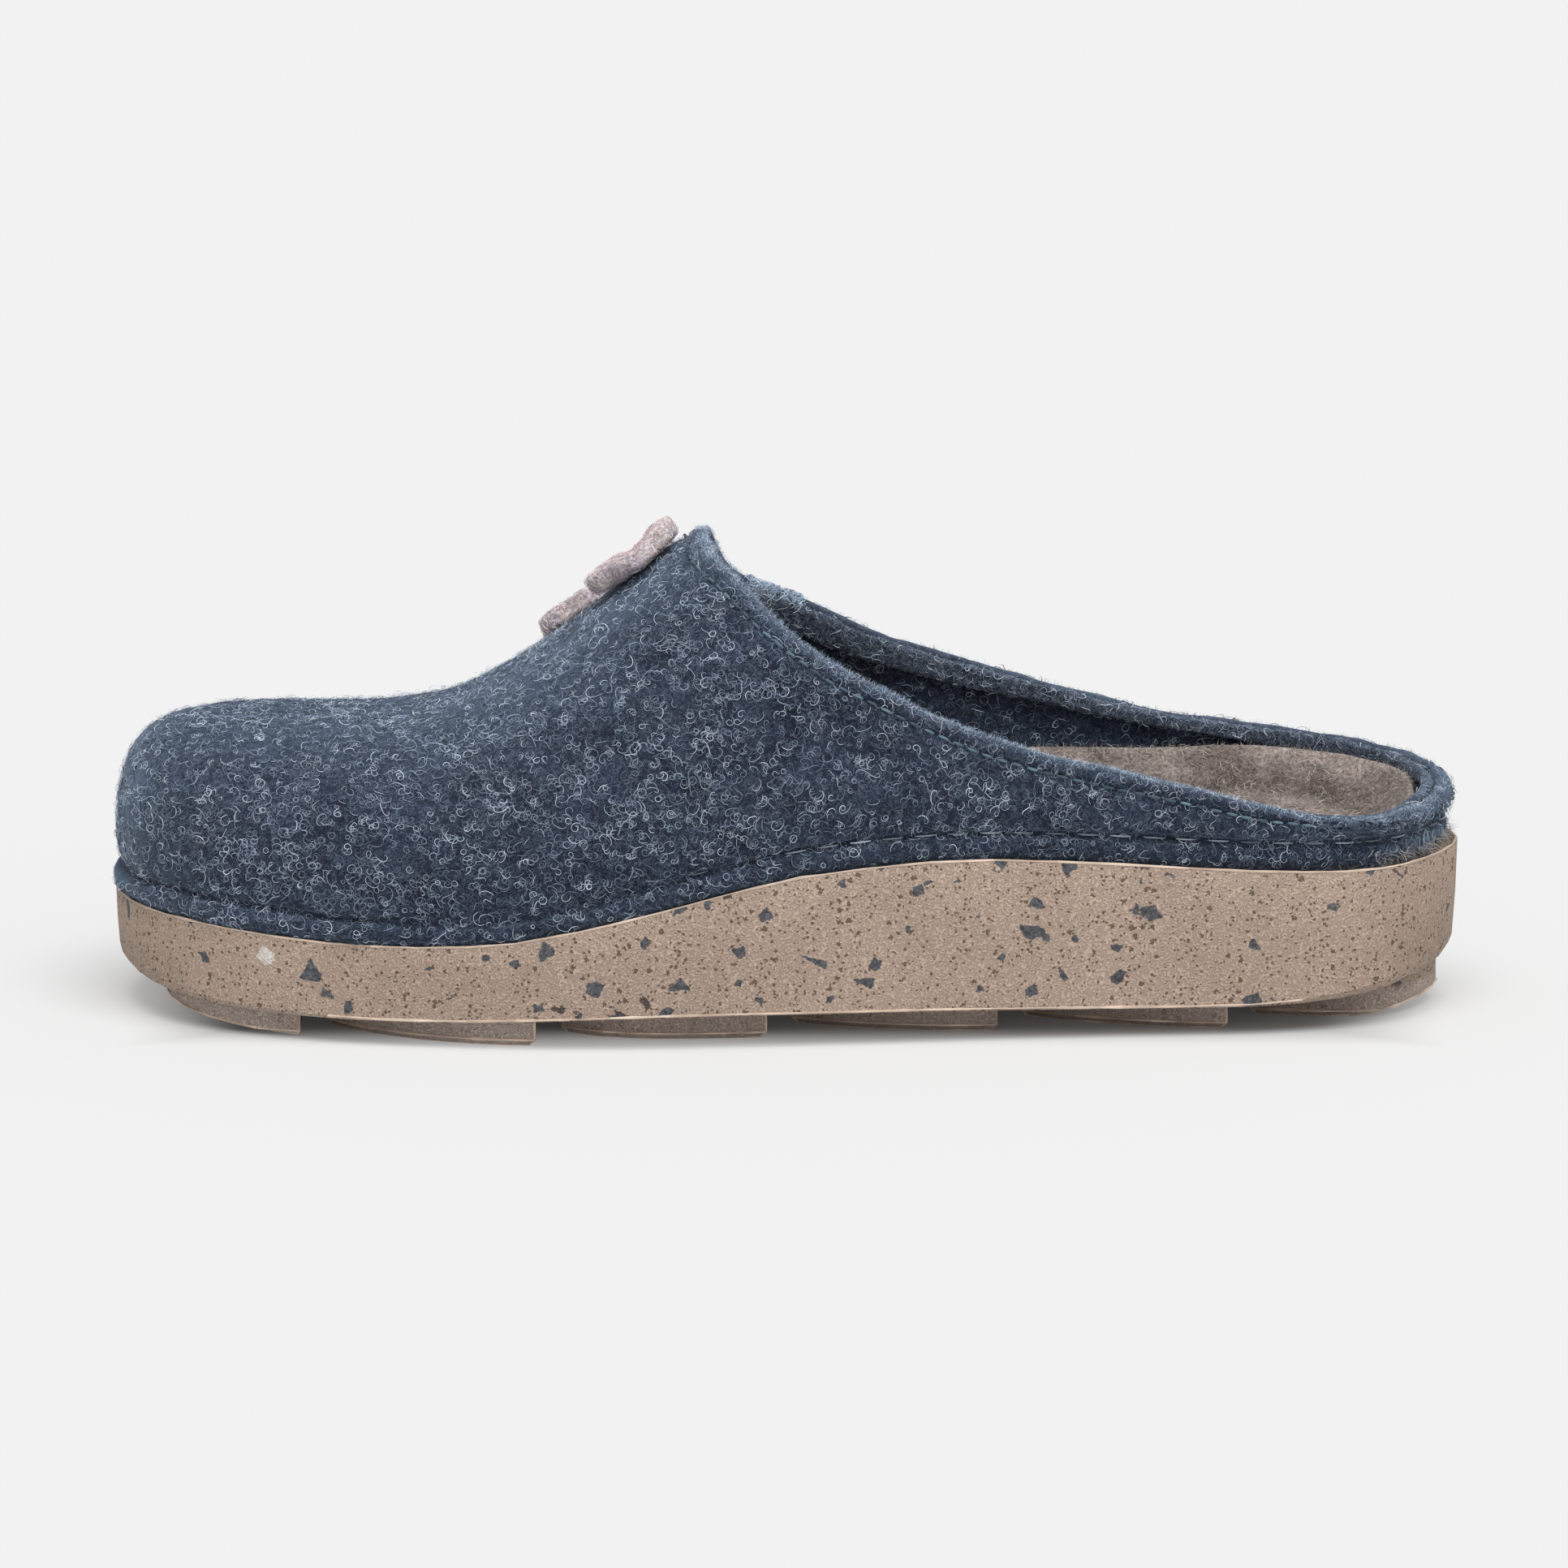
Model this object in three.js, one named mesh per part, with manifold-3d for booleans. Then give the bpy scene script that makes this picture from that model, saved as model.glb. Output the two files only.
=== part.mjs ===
// Felt clog slipper, left shoe, standing on its sole.
// Millimetres, +Z up, toe towards -X, heel towards +X, outer side of the foot towards -Y.
import * as THREE from "three";
import { mergeVertices } from "three/addons/utils/BufferGeometryUtils.js";
import Module from "manifold-3d";

// Driving dimensions.
const SHOE_LENGTH = 258; // sole outline, toe to heel
const BALL_WIDTH = 99; // sole outline across the ball of the foot
const THROAT_HEIGHT = 92; // floor to the tip of the throat
const HEEL_EDGE_HEIGHT = 31.5; // floor to the sole's top edge at the heel
const LUG_HEIGHT = 6; // floor to the underside of the sole's body

// Felt upper.
const FELT_WALL = 3;
const HEM_HEIGHT = 5.6; // sole to the seam that runs round above the hem
const HEM_PROUD = 1.4; // how far the hem swells past the wall at the toe
const SEAM_DEPTH = 0.9;
const SEAM_HALF = 0.75; // half the width of the seam's groove
const WALL_SWELL = 0.7; // how far the wall swells out above the seam
const SWELL_RISE = 3.4; // seam to where the wall has swelled out to its full
const EDGE_ROUND = 0.8; // rounding of the cut felt edge
const SEAT_INSET = 2; // the foot of the upper stands in from the sole's edge by shares of this
const HEEL_LEAN = 1.4; // how far the wall leans out again at the heel
const LEAN_FROM = 2; // the wall leans out between these heights above the sole
const LEAN_TO = 12;
const HEM_TOP = HEM_HEIGHT + SWELL_RISE;

// Folded felt strip inside the collar.
const FACING_WALL = 2;
const FACING_HEIGHT = 7;
const STRIP_FOOT = 0.92; // ahead of the throat, share of the way up at the same row

// Moulded sole.
const LIP_WIDTH = 0.5;
const LEDGE_DROP = 0.8; // the ledge under the upper lies this far below the lip
const DISH_WALL = 4; // lip to the foot of the wall around the insole
const LUG_GROOVE = 5; // groove between one lug and the next
const LUG_INSET = 10; // the lugs stand in from the outline by shares of this
const LUG_SWEEP = 12; // how far each lug's ends draw in further at its front
const LUG_BEVEL = 1.2;
const SOLE_CORNER = 5; // the sole's lower corner is rounded by shares of this

// Insole.
const INSOLE_THICKNESS = 7.5;
const INSOLE_ROUND = 1.4;

// Felt blossoms on the instep.
const BLOSSOM_FELT = 4.2;
const BLOSSOM_PETALS = 5;
const LARGE_BLOSSOM_RADIUS = 10.6;
const SMALL_BLOSSOM_RADIUS = 9;

const GAP = 0.3; // clearance between pieces that lie against each other
const CURVED_GAP = 0.55; // clearance where both faces curve two ways

// Sole outline from above. along: share of the length from the toe;
// outer and inner: shares of the ball width out from the middle line.
const OUTLINE = [
  { along: 0.0, outer: -0.05, inner: 0.05 },
  { along: 0.02, outer: 0.165, inner: 0.25 },
  { along: 0.06, outer: 0.295, inner: 0.375 },
  { along: 0.12, outer: 0.39, inner: 0.44 },
  { along: 0.2, outer: 0.455, inner: 0.472 },
  { along: 0.29, outer: 0.492, inner: 0.48 },
  { along: 0.38, outer: 0.5, inner: 0.458 },
  { along: 0.5, outer: 0.472, inner: 0.395 },
  { along: 0.62, outer: 0.425, inner: 0.342 },
  { along: 0.74, outer: 0.38, inner: 0.33 },
  { along: 0.86, outer: 0.348, inner: 0.336 },
  { along: 0.94, outer: 0.275, inner: 0.277 },
  { along: 0.98, outer: 0.165, inner: 0.168 },
  { along: 1.0, outer: 0.0, inner: 0.0 },
];

// Side of the sole. edge: share of the heel edge height; under and tread: shares of the
// lug height; corner: share of the lower corner's largest rounding.
const SOLE_SIDE = [
  { along: 0.0, edge: 0.69, under: 1.28, tread: 0.98, corner: 0.6 },
  { along: 0.04, edge: 0.68, under: 0.98, tread: 0.6, corner: 0.5 },
  { along: 0.09, edge: 0.655, under: 0.82, tread: 0.28, corner: 0.36 },
  { along: 0.17, edge: 0.616, under: 0.76, tread: 0.03, corner: 0.2 },
  { along: 0.25, edge: 0.622, under: 0.79, tread: 0.0, corner: 0.16 },
  { along: 0.3, edge: 0.655, under: 0.85, tread: 0.0, corner: 0.16 },
  { along: 0.34, edge: 0.717, under: 0.91, tread: 0.0, corner: 0.16 },
  { along: 0.39, edge: 0.81, under: 0.98, tread: 0.0, corner: 0.16 },
  { along: 0.44, edge: 0.915, under: 1.02, tread: 0.0, corner: 0.16 },
  { along: 0.49, edge: 1.015, under: 1.02, tread: 0.0, corner: 0.16 },
  { along: 0.54, edge: 1.075, under: 1.01, tread: 0.0, corner: 0.16 },
  { along: 0.63, edge: 1.12, under: 0.98, tread: 0.0, corner: 0.16 },
  { along: 0.7, edge: 1.095, under: 0.92, tread: 0.0, corner: 0.16 },
  { along: 0.78, edge: 1.048, under: 0.88, tread: 0.0, corner: 0.16 },
  { along: 0.87, edge: 0.998, under: 0.88, tread: 0.0, corner: 0.24 },
  { along: 0.93, edge: 0.978, under: 1.02, tread: 0.1, corner: 0.5 },
  { along: 1.0, edge: 1.0, under: 1.45, tread: 0.75, corner: 1 },
];

// How far the lugs' sides stand in from the outline, as shares of the lug inset.
const LUG_SIDE = [
  { along: 0.0, inset: 0.05 },
  { along: 0.15, inset: 0.4 },
  { along: 0.32, inset: 0.45 },
  { along: 0.47, inset: 0.95 },
  { along: 0.65, inset: 1.0 },
  { along: 0.83, inset: 0.7 },
  { along: 1.0, inset: 0.4 },
];

// How far the upper's foot stands in from the sole's edge, as shares of the seat inset,
// and how far its wall then leans out again, as shares of the lean at the heel.
const UPPER_SEAT = [
  { along: 0.0, inset: 0.15, lean: 0 },
  { along: 0.45, inset: 0.45, lean: 0 },
  { along: 0.7, inset: 0.75, lean: 0.35 },
  { along: 0.9, inset: 0.95, lean: 0.9 },
  { along: 1.0, inset: 1.15, lean: 1 },
];

// Crown of the last, where its two sides meet. height: share of the throat height;
// ridge: share of the ball width towards the inner side; square: 2 is a round section.
const CROWN = [
  { along: 0.1, height: 0.598, ridge: 0.045, square: 5.6 },
  { along: 0.17, height: 0.597, ridge: 0.035, square: 4.1 },
  { along: 0.22, height: 0.608, ridge: 0.03, square: 3.6 },
  { along: 0.265, height: 0.643, ridge: 0.025, square: 3.2 },
  { along: 0.3, height: 0.702, ridge: 0.02, square: 2.9 },
  { along: 0.34, height: 0.782, ridge: 0.015, square: 2.7 },
  { along: 0.388, height: 0.897, ridge: 0.01, square: 2.5 },
  { along: 0.4395, height: 1.0, ridge: 0.005, square: 2.4 },
  { along: 0.5, height: 1.07, ridge: 0.0, square: 2.4 },
  { along: 0.6, height: 1.1, ridge: 0.0, square: 2.5 },
  { along: 0.75, height: 1.06, ridge: 0.0, square: 2.7 },
  { along: 0.93, height: 0.98, ridge: 0.0, square: 3.0 },
];
const SPINE_FRONT = 0.116; // where the crown line starts and ends, as shares of the length
const SPINE_BACK = 0.93;
const THROAT_ALONG = 0.4395;

// Collar line. outer and inner: share of the way from the sole's edge to the throat height.
const COLLAR = [
  { along: 0.4395, outer: 1.0, inner: 1.0 },
  { along: 0.4485, outer: 0.965, inner: 0.86 },
  { along: 0.461, outer: 0.94, inner: 0.775 },
  { along: 0.4845, outer: 0.852, inner: 0.727 },
  { along: 0.503, outer: 0.778, inner: 0.705 },
  { along: 0.521, outer: 0.712, inner: 0.655 },
  { along: 0.581, outer: 0.558, inner: 0.527 },
  { along: 0.6415, outer: 0.42, inner: 0.443 },
  { along: 0.7015, outer: 0.337, inner: 0.373 },
  { along: 0.7625, outer: 0.29, inner: 0.31 },
  { along: 0.8225, outer: 0.228, inner: 0.277 },
  { along: 0.883, outer: 0.165, inner: 0.26 },
  { along: 0.9185, outer: 0.132, inner: 0.25 },
  { along: 0.945, outer: 0.124, inner: 0.238 },
  { along: 0.974, outer: 0.145, inner: 0.222 },
  { along: 1.0, outer: 0.205, inner: 0.205 },
];

// Top of the insole. centre, outer and inner: shares of the heel edge height,
// the last two as the rise of the rim above the middle.
const INSOLE = [
  { along: 0.0, centre: 0.72, outer: 0.06, inner: 0.06 },
  { along: 0.15, centre: 0.64, outer: 0.05, inner: 0.06 },
  { along: 0.3, centre: 0.67, outer: 0.06, inner: 0.09 },
  { along: 0.45, centre: 0.86, outer: 0.13, inner: 0.24 },
  { along: 0.6, centre: 1.0, outer: 0.17, inner: 0.38 },
  { along: 0.75, centre: 1.05, outer: 0.15, inner: 0.38 },
  { along: 0.88, centre: 1.07, outer: 0.12, inner: 0.36 },
  { along: 0.945, centre: 1.07, outer: 0.12, inner: 0.32 },
  { along: 1.0, centre: 1.08, outer: 0.24, inner: 0.24 },
];

// Grooves between the lugs, as shares of the length from the toe.
const GROOVES_ALONG = [0.152, 0.325, 0.495, 0.6655, 0.8355];
const TREAD_FRONT = 0;
const TREAD_BACK = 1.02;

// Where the blossoms sit: share of the length, and share of the ball width from the ridge
// to the inner side. spin and tilt are angles, and clear is how many gaps they stand off.
// The petals curl up and hang down across the instep by shares of the felt's thickness.
const LARGE_BLOSSOM = {
  along: 0.394, aside: 0.008, clear: 1.9, spin: 0.968, tilt: 0.09, curl: 0.2, hang: 0.17,
};
const SMALL_BLOSSOM = {
  along: 0.335, aside: 0.305, clear: 2.2, spin: 0.3, tilt: 0, curl: 0, hang: 0.1,
};

// Columns on each side from toe to heel; the throat tip lies on one of them.
const COLUMNS = 33;
const TIP_COLUMN = 13;
const QUARTER = Math.PI / 2;

const NAVY_FELT = new THREE.MeshStandardMaterial({ color: 0x3b4659, roughness: 1 });
const GREY_FELT = new THREE.MeshStandardMaterial({ color: 0x9c8a80, roughness: 1 });
const ROSE_FELT = new THREE.MeshStandardMaterial({ color: 0xb59aa6, roughness: 1 });
const TAN_FOAM = new THREE.MeshStandardMaterial({ color: 0xa08f81, roughness: 0.85 });

const mix = THREE.MathUtils.lerp;
const clamp = THREE.MathUtils.clamp;

// Smooth value of a table's column at a place along the length.
function read(table, column, along) {
  const last = table.length - 1;
  const at = clamp(along, table[0].along, table[last].along);
  let i = 0;
  while (i < last - 1 && table[i + 1].along < at) i += 1;
  const slope = (j) => {
    const a = table[Math.max(j - 1, 0)];
    const b = table[Math.min(j + 1, last)];
    return (b[column] - a[column]) / (b.along - a.along);
  };
  const span = table[i + 1].along - table[i].along;
  const t = (at - table[i].along) / span;
  const t2 = t * t;
  const t3 = t2 * t;
  return (
    (2 * t3 - 3 * t2 + 1) * table[i][column] +
    (t3 - 2 * t2 + t) * span * slope(i) +
    (3 * t2 - 2 * t3) * table[i + 1][column] +
    (t3 - t2) * span * slope(i + 1)
  );
}

// A turn runs round the outline: 0 toe, 0.5 heel by the outer side, back to 1 by the inner side.
const turnOf = (u, inner) => (inner ? 1 - u / 2 : u / 2);
const wrap = (turn) => ((turn % 1) + 1) % 1;
const sideShare = (turn) => (turn <= 0.5 ? 2 * turn : 2 - 2 * turn);
const isInner = (turn) => turn > 0.5;
const alongOf = (x) => clamp(x / SHOE_LENGTH + 0.5, 0, 1);
const lengthwise = (along) => (along - 0.5) * SHOE_LENGTH;

const outlineCurve = new THREE.CatmullRomCurve3(
  [
    ...OUTLINE.map((row) => [row.along, -row.outer]),
    ...OUTLINE.slice(1, -1)
      .reverse()
      .map((row) => [row.along, row.inner]),
  ].map(([along, out]) => new THREE.Vector3(lengthwise(along), out * BALL_WIDTH, 0)),
  true,
  "centripetal",
);

// Point of the outline at a turn, moved inwards.
function outlineAt(turn, inset = 0) {
  const step = 1e-4;
  const ahead = outlineCurve.getPoint(wrap(turn + step));
  const behind = outlineCurve.getPoint(wrap(turn - step));
  const way = ahead.sub(behind).normalize();
  const point = outlineCurve.getPoint(wrap(turn));
  return point.add(new THREE.Vector3(-way.y, way.x, 0).multiplyScalar(inset));
}

// Share of the length at a share of the way along one side, the same for both sides.
function rowAlong(u) {
  const rows = OUTLINE.map((row, i) => ({
    along: i / (OUTLINE.length - 1),
    place: row.along,
  }));
  return read(rows, "place", u);
}

const crownHeight = (along) => read(CROWN, "height", along) * THROAT_HEIGHT;

// Crown of the last at a share of the way from toe to heel.
function spineAt(u) {
  const along = mix(SPINE_FRONT, SPINE_BACK, rowAlong(u));
  return {
    along,
    point: new THREE.Vector3(
      lengthwise(along),
      read(CROWN, "ridge", along) * BALL_WIDTH,
      crownHeight(along),
    ),
    square: read(CROWN, "square", along),
  };
}

const edgeHeight = (along) => read(SOLE_SIDE, "edge", along) * HEEL_EDGE_HEIGHT;
const underHeight = (along) => read(SOLE_SIDE, "under", along) * LUG_HEIGHT;
const treadHeight = (along) => Math.max(0, read(SOLE_SIDE, "tread", along)) * LUG_HEIGHT;
const seatInset = (turn) =>
  read(UPPER_SEAT, "inset", rowAlong(sideShare(turn))) * SEAT_INSET;
const seatLean = (turn) =>
  read(UPPER_SEAT, "lean", rowAlong(sideShare(wrap(turn)))) * HEEL_LEAN;

// Foot of the upper's wall at a turn.
function footAt(turn) {
  const foot = outlineAt(turn, seatInset(turn));
  foot.z = edgeHeight(alongOf(foot.x)) - LEDGE_DROP + GAP;
  return foot;
}

// How far the wall leans out over the sole's edge when it has risen by some millimetres.
function leanOut(turn, rise) {
  const share = THREE.MathUtils.smoothstep(rise, LEAN_FROM, LEAN_TO);
  return outlineAt(turn).sub(outlineAt(turn, 1)).multiplyScalar(seatLean(turn) * share);
}

// Outer face of the upper: angle 0 is the foot of the wall, a quarter turn is the crown.
function lastPoint(turn, angle) {
  const foot = footAt(turn);
  const crown = spineAt(sideShare(wrap(turn)));
  const c = Math.cos(angle);
  const s = Math.sin(angle);
  const power = crown.square;
  const r = (Math.abs(c) ** power + Math.abs(s) ** power) ** (-1 / power);
  const across = 1 - r * c;
  const lean = leanOut(turn, r * s * (crown.point.z - foot.z)).multiplyScalar(1 - across);
  const x = mix(foot.x, crown.point.x, across) + lean.x;
  const y = mix(foot.y, crown.point.y, across) + lean.y;
  return new THREE.Vector3(x, y, mix(foot.z, crownHeight(alongOf(x)), r * s));
}

// Steps on the last's surface for a small change of turn and of angle.
function surfaceSteps(turn, angle) {
  const step = 5e-4;
  return {
    around: lastPoint(wrap(turn + step), angle)
      .sub(lastPoint(wrap(turn - step), angle))
      .divideScalar(2 * step),
    up: lastPoint(turn, angle + step)
      .sub(lastPoint(turn, angle - step))
      .divideScalar(2 * step),
  };
}

const onCrown = (angle) => angle > QUARTER - 1e-6;

// Direction along the crown, from toe to heel.
function spineWay(u) {
  const step = 1e-3;
  return spineAt(Math.min(u + step, 1))
    .point.sub(spineAt(Math.max(u - step, 0)).point)
    .normalize();
}

function wallNormal(turn, angle) {
  if (onCrown(angle)) {
    const way = spineWay(sideShare(turn));
    return new THREE.Vector3(0, 0, 1).addScaledVector(way, -way.z).normalize();
  }
  const steps = surfaceSteps(turn, angle);
  return steps.around.cross(steps.up).normalize();
}

// Point under the upper's outer face, by a depth in millimetres.
function wallPoint(turn, angle, depth) {
  return lastPoint(turn, angle).addScaledVector(wallNormal(turn, angle), -depth);
}

// Angle at which the wall has risen by some millimetres from its foot.
function angleAtRise(turn, rise) {
  const crown = spineAt(sideShare(turn));
  const share = clamp(rise / (crown.point.z - footAt(turn).z), 0, 1);
  return Math.atan2(share, (1 - share ** crown.square) ** (1 / crown.square));
}

function collarHeight(x, inner) {
  const along = clamp(alongOf(x), THROAT_ALONG, 1);
  const edge = edgeHeight(along);
  return mix(edge, THROAT_HEIGHT, read(COLLAR, inner ? "inner" : "outer", along));
}

// Finds where a rising test passes zero.
function bisect(low, high, test) {
  for (let i = 0; i < 40; i += 1) {
    const middle = (low + high) / 2;
    if (test(middle) > 0) high = middle;
    else low = middle;
  }
  return (low + high) / 2;
}

const TIP = bisect(0, 1, (u) => spineAt(u).along - THROAT_ALONG);

// Where column k meets the crown or the collar, as a share of its side and an angle.
function topOf(k, inner) {
  if (k <= TIP_COLUMN) return { u: (TIP * k) / TIP_COLUMN, angle: QUARTER };
  const way = (k - TIP_COLUMN) / (COLUMNS - TIP_COLUMN);
  const u = mix(TIP, 1, way ** 1.5);
  const turn = turnOf(u, inner);
  const angle = bisect(0.02, QUARTER, (a) => {
    const point = lastPoint(turn, a);
    return point.z - collarHeight(point.x, inner);
  });
  return { u, angle };
}

// Columns in order round the shoe: toe, outer side, heel, inner side.
const LOOP = Array.from({ length: 2 * COLUMNS }, (_, j) => {
  const inner = j > COLUMNS;
  return { inner, k: inner ? 2 * COLUMNS - j : j };
});

// Joins rows of points into a closed surface. Every row runs the same way round.
function skin(rows, { closed = false, skip = () => false } = {}) {
  const count = rows[0].length;
  const positions = rows.flat().flatMap((p) => [p.x, p.y, p.z]);
  const index = [];
  const lastRow = closed ? rows.length : rows.length - 1;
  for (let r = 0; r < lastRow; r += 1) {
    const next = (r + 1) % rows.length;
    for (let j = 0; j < count; j += 1) {
      if (skip(r, j)) continue;
      const i = (j + 1) % count;
      const a = r * count + j;
      const b = r * count + i;
      const c = next * count + i;
      const d = next * count + j;
      index.push(a, b, c, a, c, d);
    }
  }
  const geometry = new THREE.BufferGeometry();
  geometry.setAttribute("position", new THREE.Float32BufferAttribute(positions, 3));
  geometry.setIndex(index);
  return mergeVertices(geometry, 1e-3);
}

// Place on the wall: way 0 is the top of the hem, way 1 is the crown or the collar.
function climbTo({ k, inner }, way) {
  const top = topOf(k, inner);
  const turn = turnOf(mix(k / COLUMNS, top.u, way), inner);
  const angle = way === 1 ? top.angle : mix(angleAtRise(turn, HEM_TOP), top.angle, way);
  return { turn, angle };
}

// Share of the way up each column at which the folded strip ends.
const stripFoot = LOOP.map((column) => {
  if (column.k < TIP_COLUMN) return STRIP_FOOT;
  const top = topOf(column.k, column.inner);
  const edge = lastPoint(turnOf(top.u, column.inner), top.angle);
  return bisect(0.1, 1, (way) => {
    const at = climbTo(column, way);
    return FACING_HEIGHT - lastPoint(at.turn, at.angle).distanceTo(edge);
  });
});

// Felt upper: one wall from the sole over the foot, open at the collar and underneath.
function upperGeometry() {
  const hem = [
    { rise: 0, depth: FELT_WALL / 3 },
    { rise: 0.16 * HEM_HEIGHT, depth: 0.07 * FELT_WALL },
    { rise: 0.4 * HEM_HEIGHT, proud: 1 },
    { rise: 0.76 * HEM_HEIGHT, proud: 0.7 },
    { rise: HEM_HEIGHT - SEAM_HALF, depth: 0 },
    { rise: HEM_HEIGHT, depth: SEAM_DEPTH },
    { rise: HEM_HEIGHT + SEAM_HALF, depth: 0 },
    { rise: HEM_TOP, depth: -WALL_SWELL },
  ];
  const below = [0.15, 0.32, 0.49, 0.66, 0.83, 1].map((share) => (j) => share * stripFoot[j]);
  const climb = [...below, (j) => (1 + stripFoot[j]) / 2];
  const proud = (turn) => HEM_PROUD * mix(1, 0.4, sideShare(turn));
  const hemRow = ({ rise, depth, proud: share }) =>
    LOOP.map(({ k, inner }) => {
      const turn = turnOf(k / COLUMNS, inner);
      const out = share === undefined ? depth : -share * proud(turn);
      return wallPoint(turn, angleAtRise(turn, rise), out);
    });
  const climbRow = (wayOf, depthOf) =>
    LOOP.map((column, j) => {
      const way = wayOf(j);
      const { turn, angle } = climbTo(column, way);
      return wallPoint(turn, angle, depthOf(column.k, way));
    });
  const top = () => 1;
  const rounding = (k) => (k < TIP_COLUMN ? 0 : EDGE_ROUND);
  const rows = [
    ...hem.map(hemRow),
    ...climb.map((wayOf) => climbRow(wayOf, (k, way) => -WALL_SWELL * (1 - way))),
    climbRow(top, rounding),
    climbRow(top, (k) => FELT_WALL - rounding(k)),
    ...[...climb].reverse().map((wayOf) => climbRow(wayOf, () => FELT_WALL)),
    ...[HEM_TOP, HEM_HEIGHT, 0].map((rise) => hemRow({ rise, depth: FELT_WALL })),
  ];
  const rim = hem.length + climb.length;
  const onSpine = (j) => (j < COLUMNS ? j : 2 * COLUMNS - 1 - j) < TIP_COLUMN;
  return skin(rows, { closed: true, skip: (r, j) => r === rim && onSpine(j) });
}

// Folded strip inside the collar, from the cut edge down to its own foot.
function facingGeometry() {
  const columns = LOOP.map((column, j) => ({ ...column, foot: stripFoot[j] }));
  const strip = columns.filter(({ k }) => k >= TIP_COLUMN);
  const row = (share, depth) =>
    strip.map((column) => {
      const { turn, angle } = climbTo(column, mix(1, column.foot, share));
      return wallPoint(turn, angle, depth);
    });
  const face = FELT_WALL + CURVED_GAP;
  const back = face + FACING_WALL;
  const rows = [
    row(0.1, face),
    row(0, face + EDGE_ROUND),
    row(0, back - EDGE_ROUND),
    row(0.1, back),
    row(0.5, back),
    row(0.9, back),
    row(1, back - EDGE_ROUND),
    row(1, face),
    row(0.5, face),
  ];
  return skin(rows, { closed: true });
}

// Row of points round the shoe at an inset from the outline, drawn in towards the middle.
function planRow(inset, share, height) {
  return LOOP.map(({ k, inner }) => {
    const u = k / COLUMNS;
    const turn = turnOf(u, inner);
    const edge = outlineAt(turn, inset(turn));
    const middle = spineAt(u).point;
    const point = new THREE.Vector3(
      mix(edge.x, middle.x, share),
      mix(edge.y, middle.y, share),
      0,
    );
    point.z = height({ turn, along: alongOf(point.x), share });
    return point;
  });
}

const insoleRim = (turn) =>
  seatInset(turn) - 0.3 * seatLean(turn) + FELT_WALL + FACING_WALL + CURVED_GAP;
const insoleFoot = (turn) => seatInset(turn) + FELT_WALL + GAP;

// Top of the insole: flat in the middle, curling up to its rim.
function insoleTop({ turn, along, share }) {
  const rim = read(INSOLE, isInner(turn) ? "inner" : "outer", along);
  return (read(INSOLE, "centre", along) + rim * (1 - share) ** 3) * HEEL_EDGE_HEIGHT;
}

// Bottom of the insole, which lies in the sole's dish.
function insoleBottom({ along, share }) {
  const middle = read(INSOLE, "centre", along) * HEEL_EDGE_HEIGHT - INSOLE_THICKNESS;
  const wall = edgeHeight(along) - DISH_WALL + GAP;
  return mix(wall, middle, share);
}

function insoleGeometry() {
  const side = (inset, height) => planRow(inset, 0, height);
  const rows = [
    ...[1, 0.66, 0.33].map((share) => planRow(insoleFoot, share, insoleBottom)),
    side(insoleFoot, insoleBottom),
    side(insoleFoot, ({ along }) => edgeHeight(along) - LEDGE_DROP),
    side(insoleRim, ({ along }) => edgeHeight(along)),
    side(insoleRim, (at) => insoleTop(at) - INSOLE_ROUND),
    side((turn) => insoleRim(turn) + INSOLE_ROUND, insoleTop),
    ...[0.1, 0.22, 0.38, 0.6, 1].map((share) =>
      planRow((turn) => insoleRim(turn) + INSOLE_ROUND, share, insoleTop),
    ),
  ];
  return skin(rows);
}

// Body of the sole: flat underneath, dished on top for the insole.
function soleBodyGeometry() {
  const corner = (turn) => read(SOLE_SIDE, "corner", rowAlong(sideShare(turn))) * SOLE_CORNER;
  const fixed = (inset) => () => inset;
  const edge = ({ along }) => edgeHeight(along);
  const ledge = ({ along }) => edgeHeight(along) - LEDGE_DROP;
  const under = ({ along }) => underHeight(along);
  const wallLean = (share) => (turn) => share * (0.4 * LIP_WIDTH + 0.15 * corner(turn));
  const dish = (turn) => seatInset(turn) + FELT_WALL;
  const floor = (at) => insoleBottom(at) - CURVED_GAP;
  const wall = (inset, height) => planRow(inset, 0, height);
  const part = (share) => (at) => mix(underHeight(at.along), edgeHeight(at.along), share);
  const lift = (turn) => 0.8 * corner(turn);
  const flat = (turn) => 2 * LIP_WIDTH + corner(turn);
  const rows = [
    ...[1, 0.5].map((share) => planRow(flat, share, under)),
    wall(flat, under),
    wall(
      (turn) => 0.6 * LIP_WIDTH + 0.5 * corner(turn),
      (at) => under(at) + 0.35 * lift(at.turn),
    ),
    wall(wallLean(1), (at) => under(at) + lift(at.turn)),
    wall(wallLean(0.35), part(0.55)),
    wall(fixed(0), (at) => edge(at) - LIP_WIDTH),
    wall(fixed(0.4 * LIP_WIDTH), edge),
    wall((turn) => Math.max(LIP_WIDTH, seatInset(turn) - 2 * LIP_WIDTH), ledge),
    wall(dish, ledge),
    wall(dish, floor),
    ...[0.33, 0.66, 1].map((share) => planRow(dish, share, floor)),
  ];
  return skin(rows);
}

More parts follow.
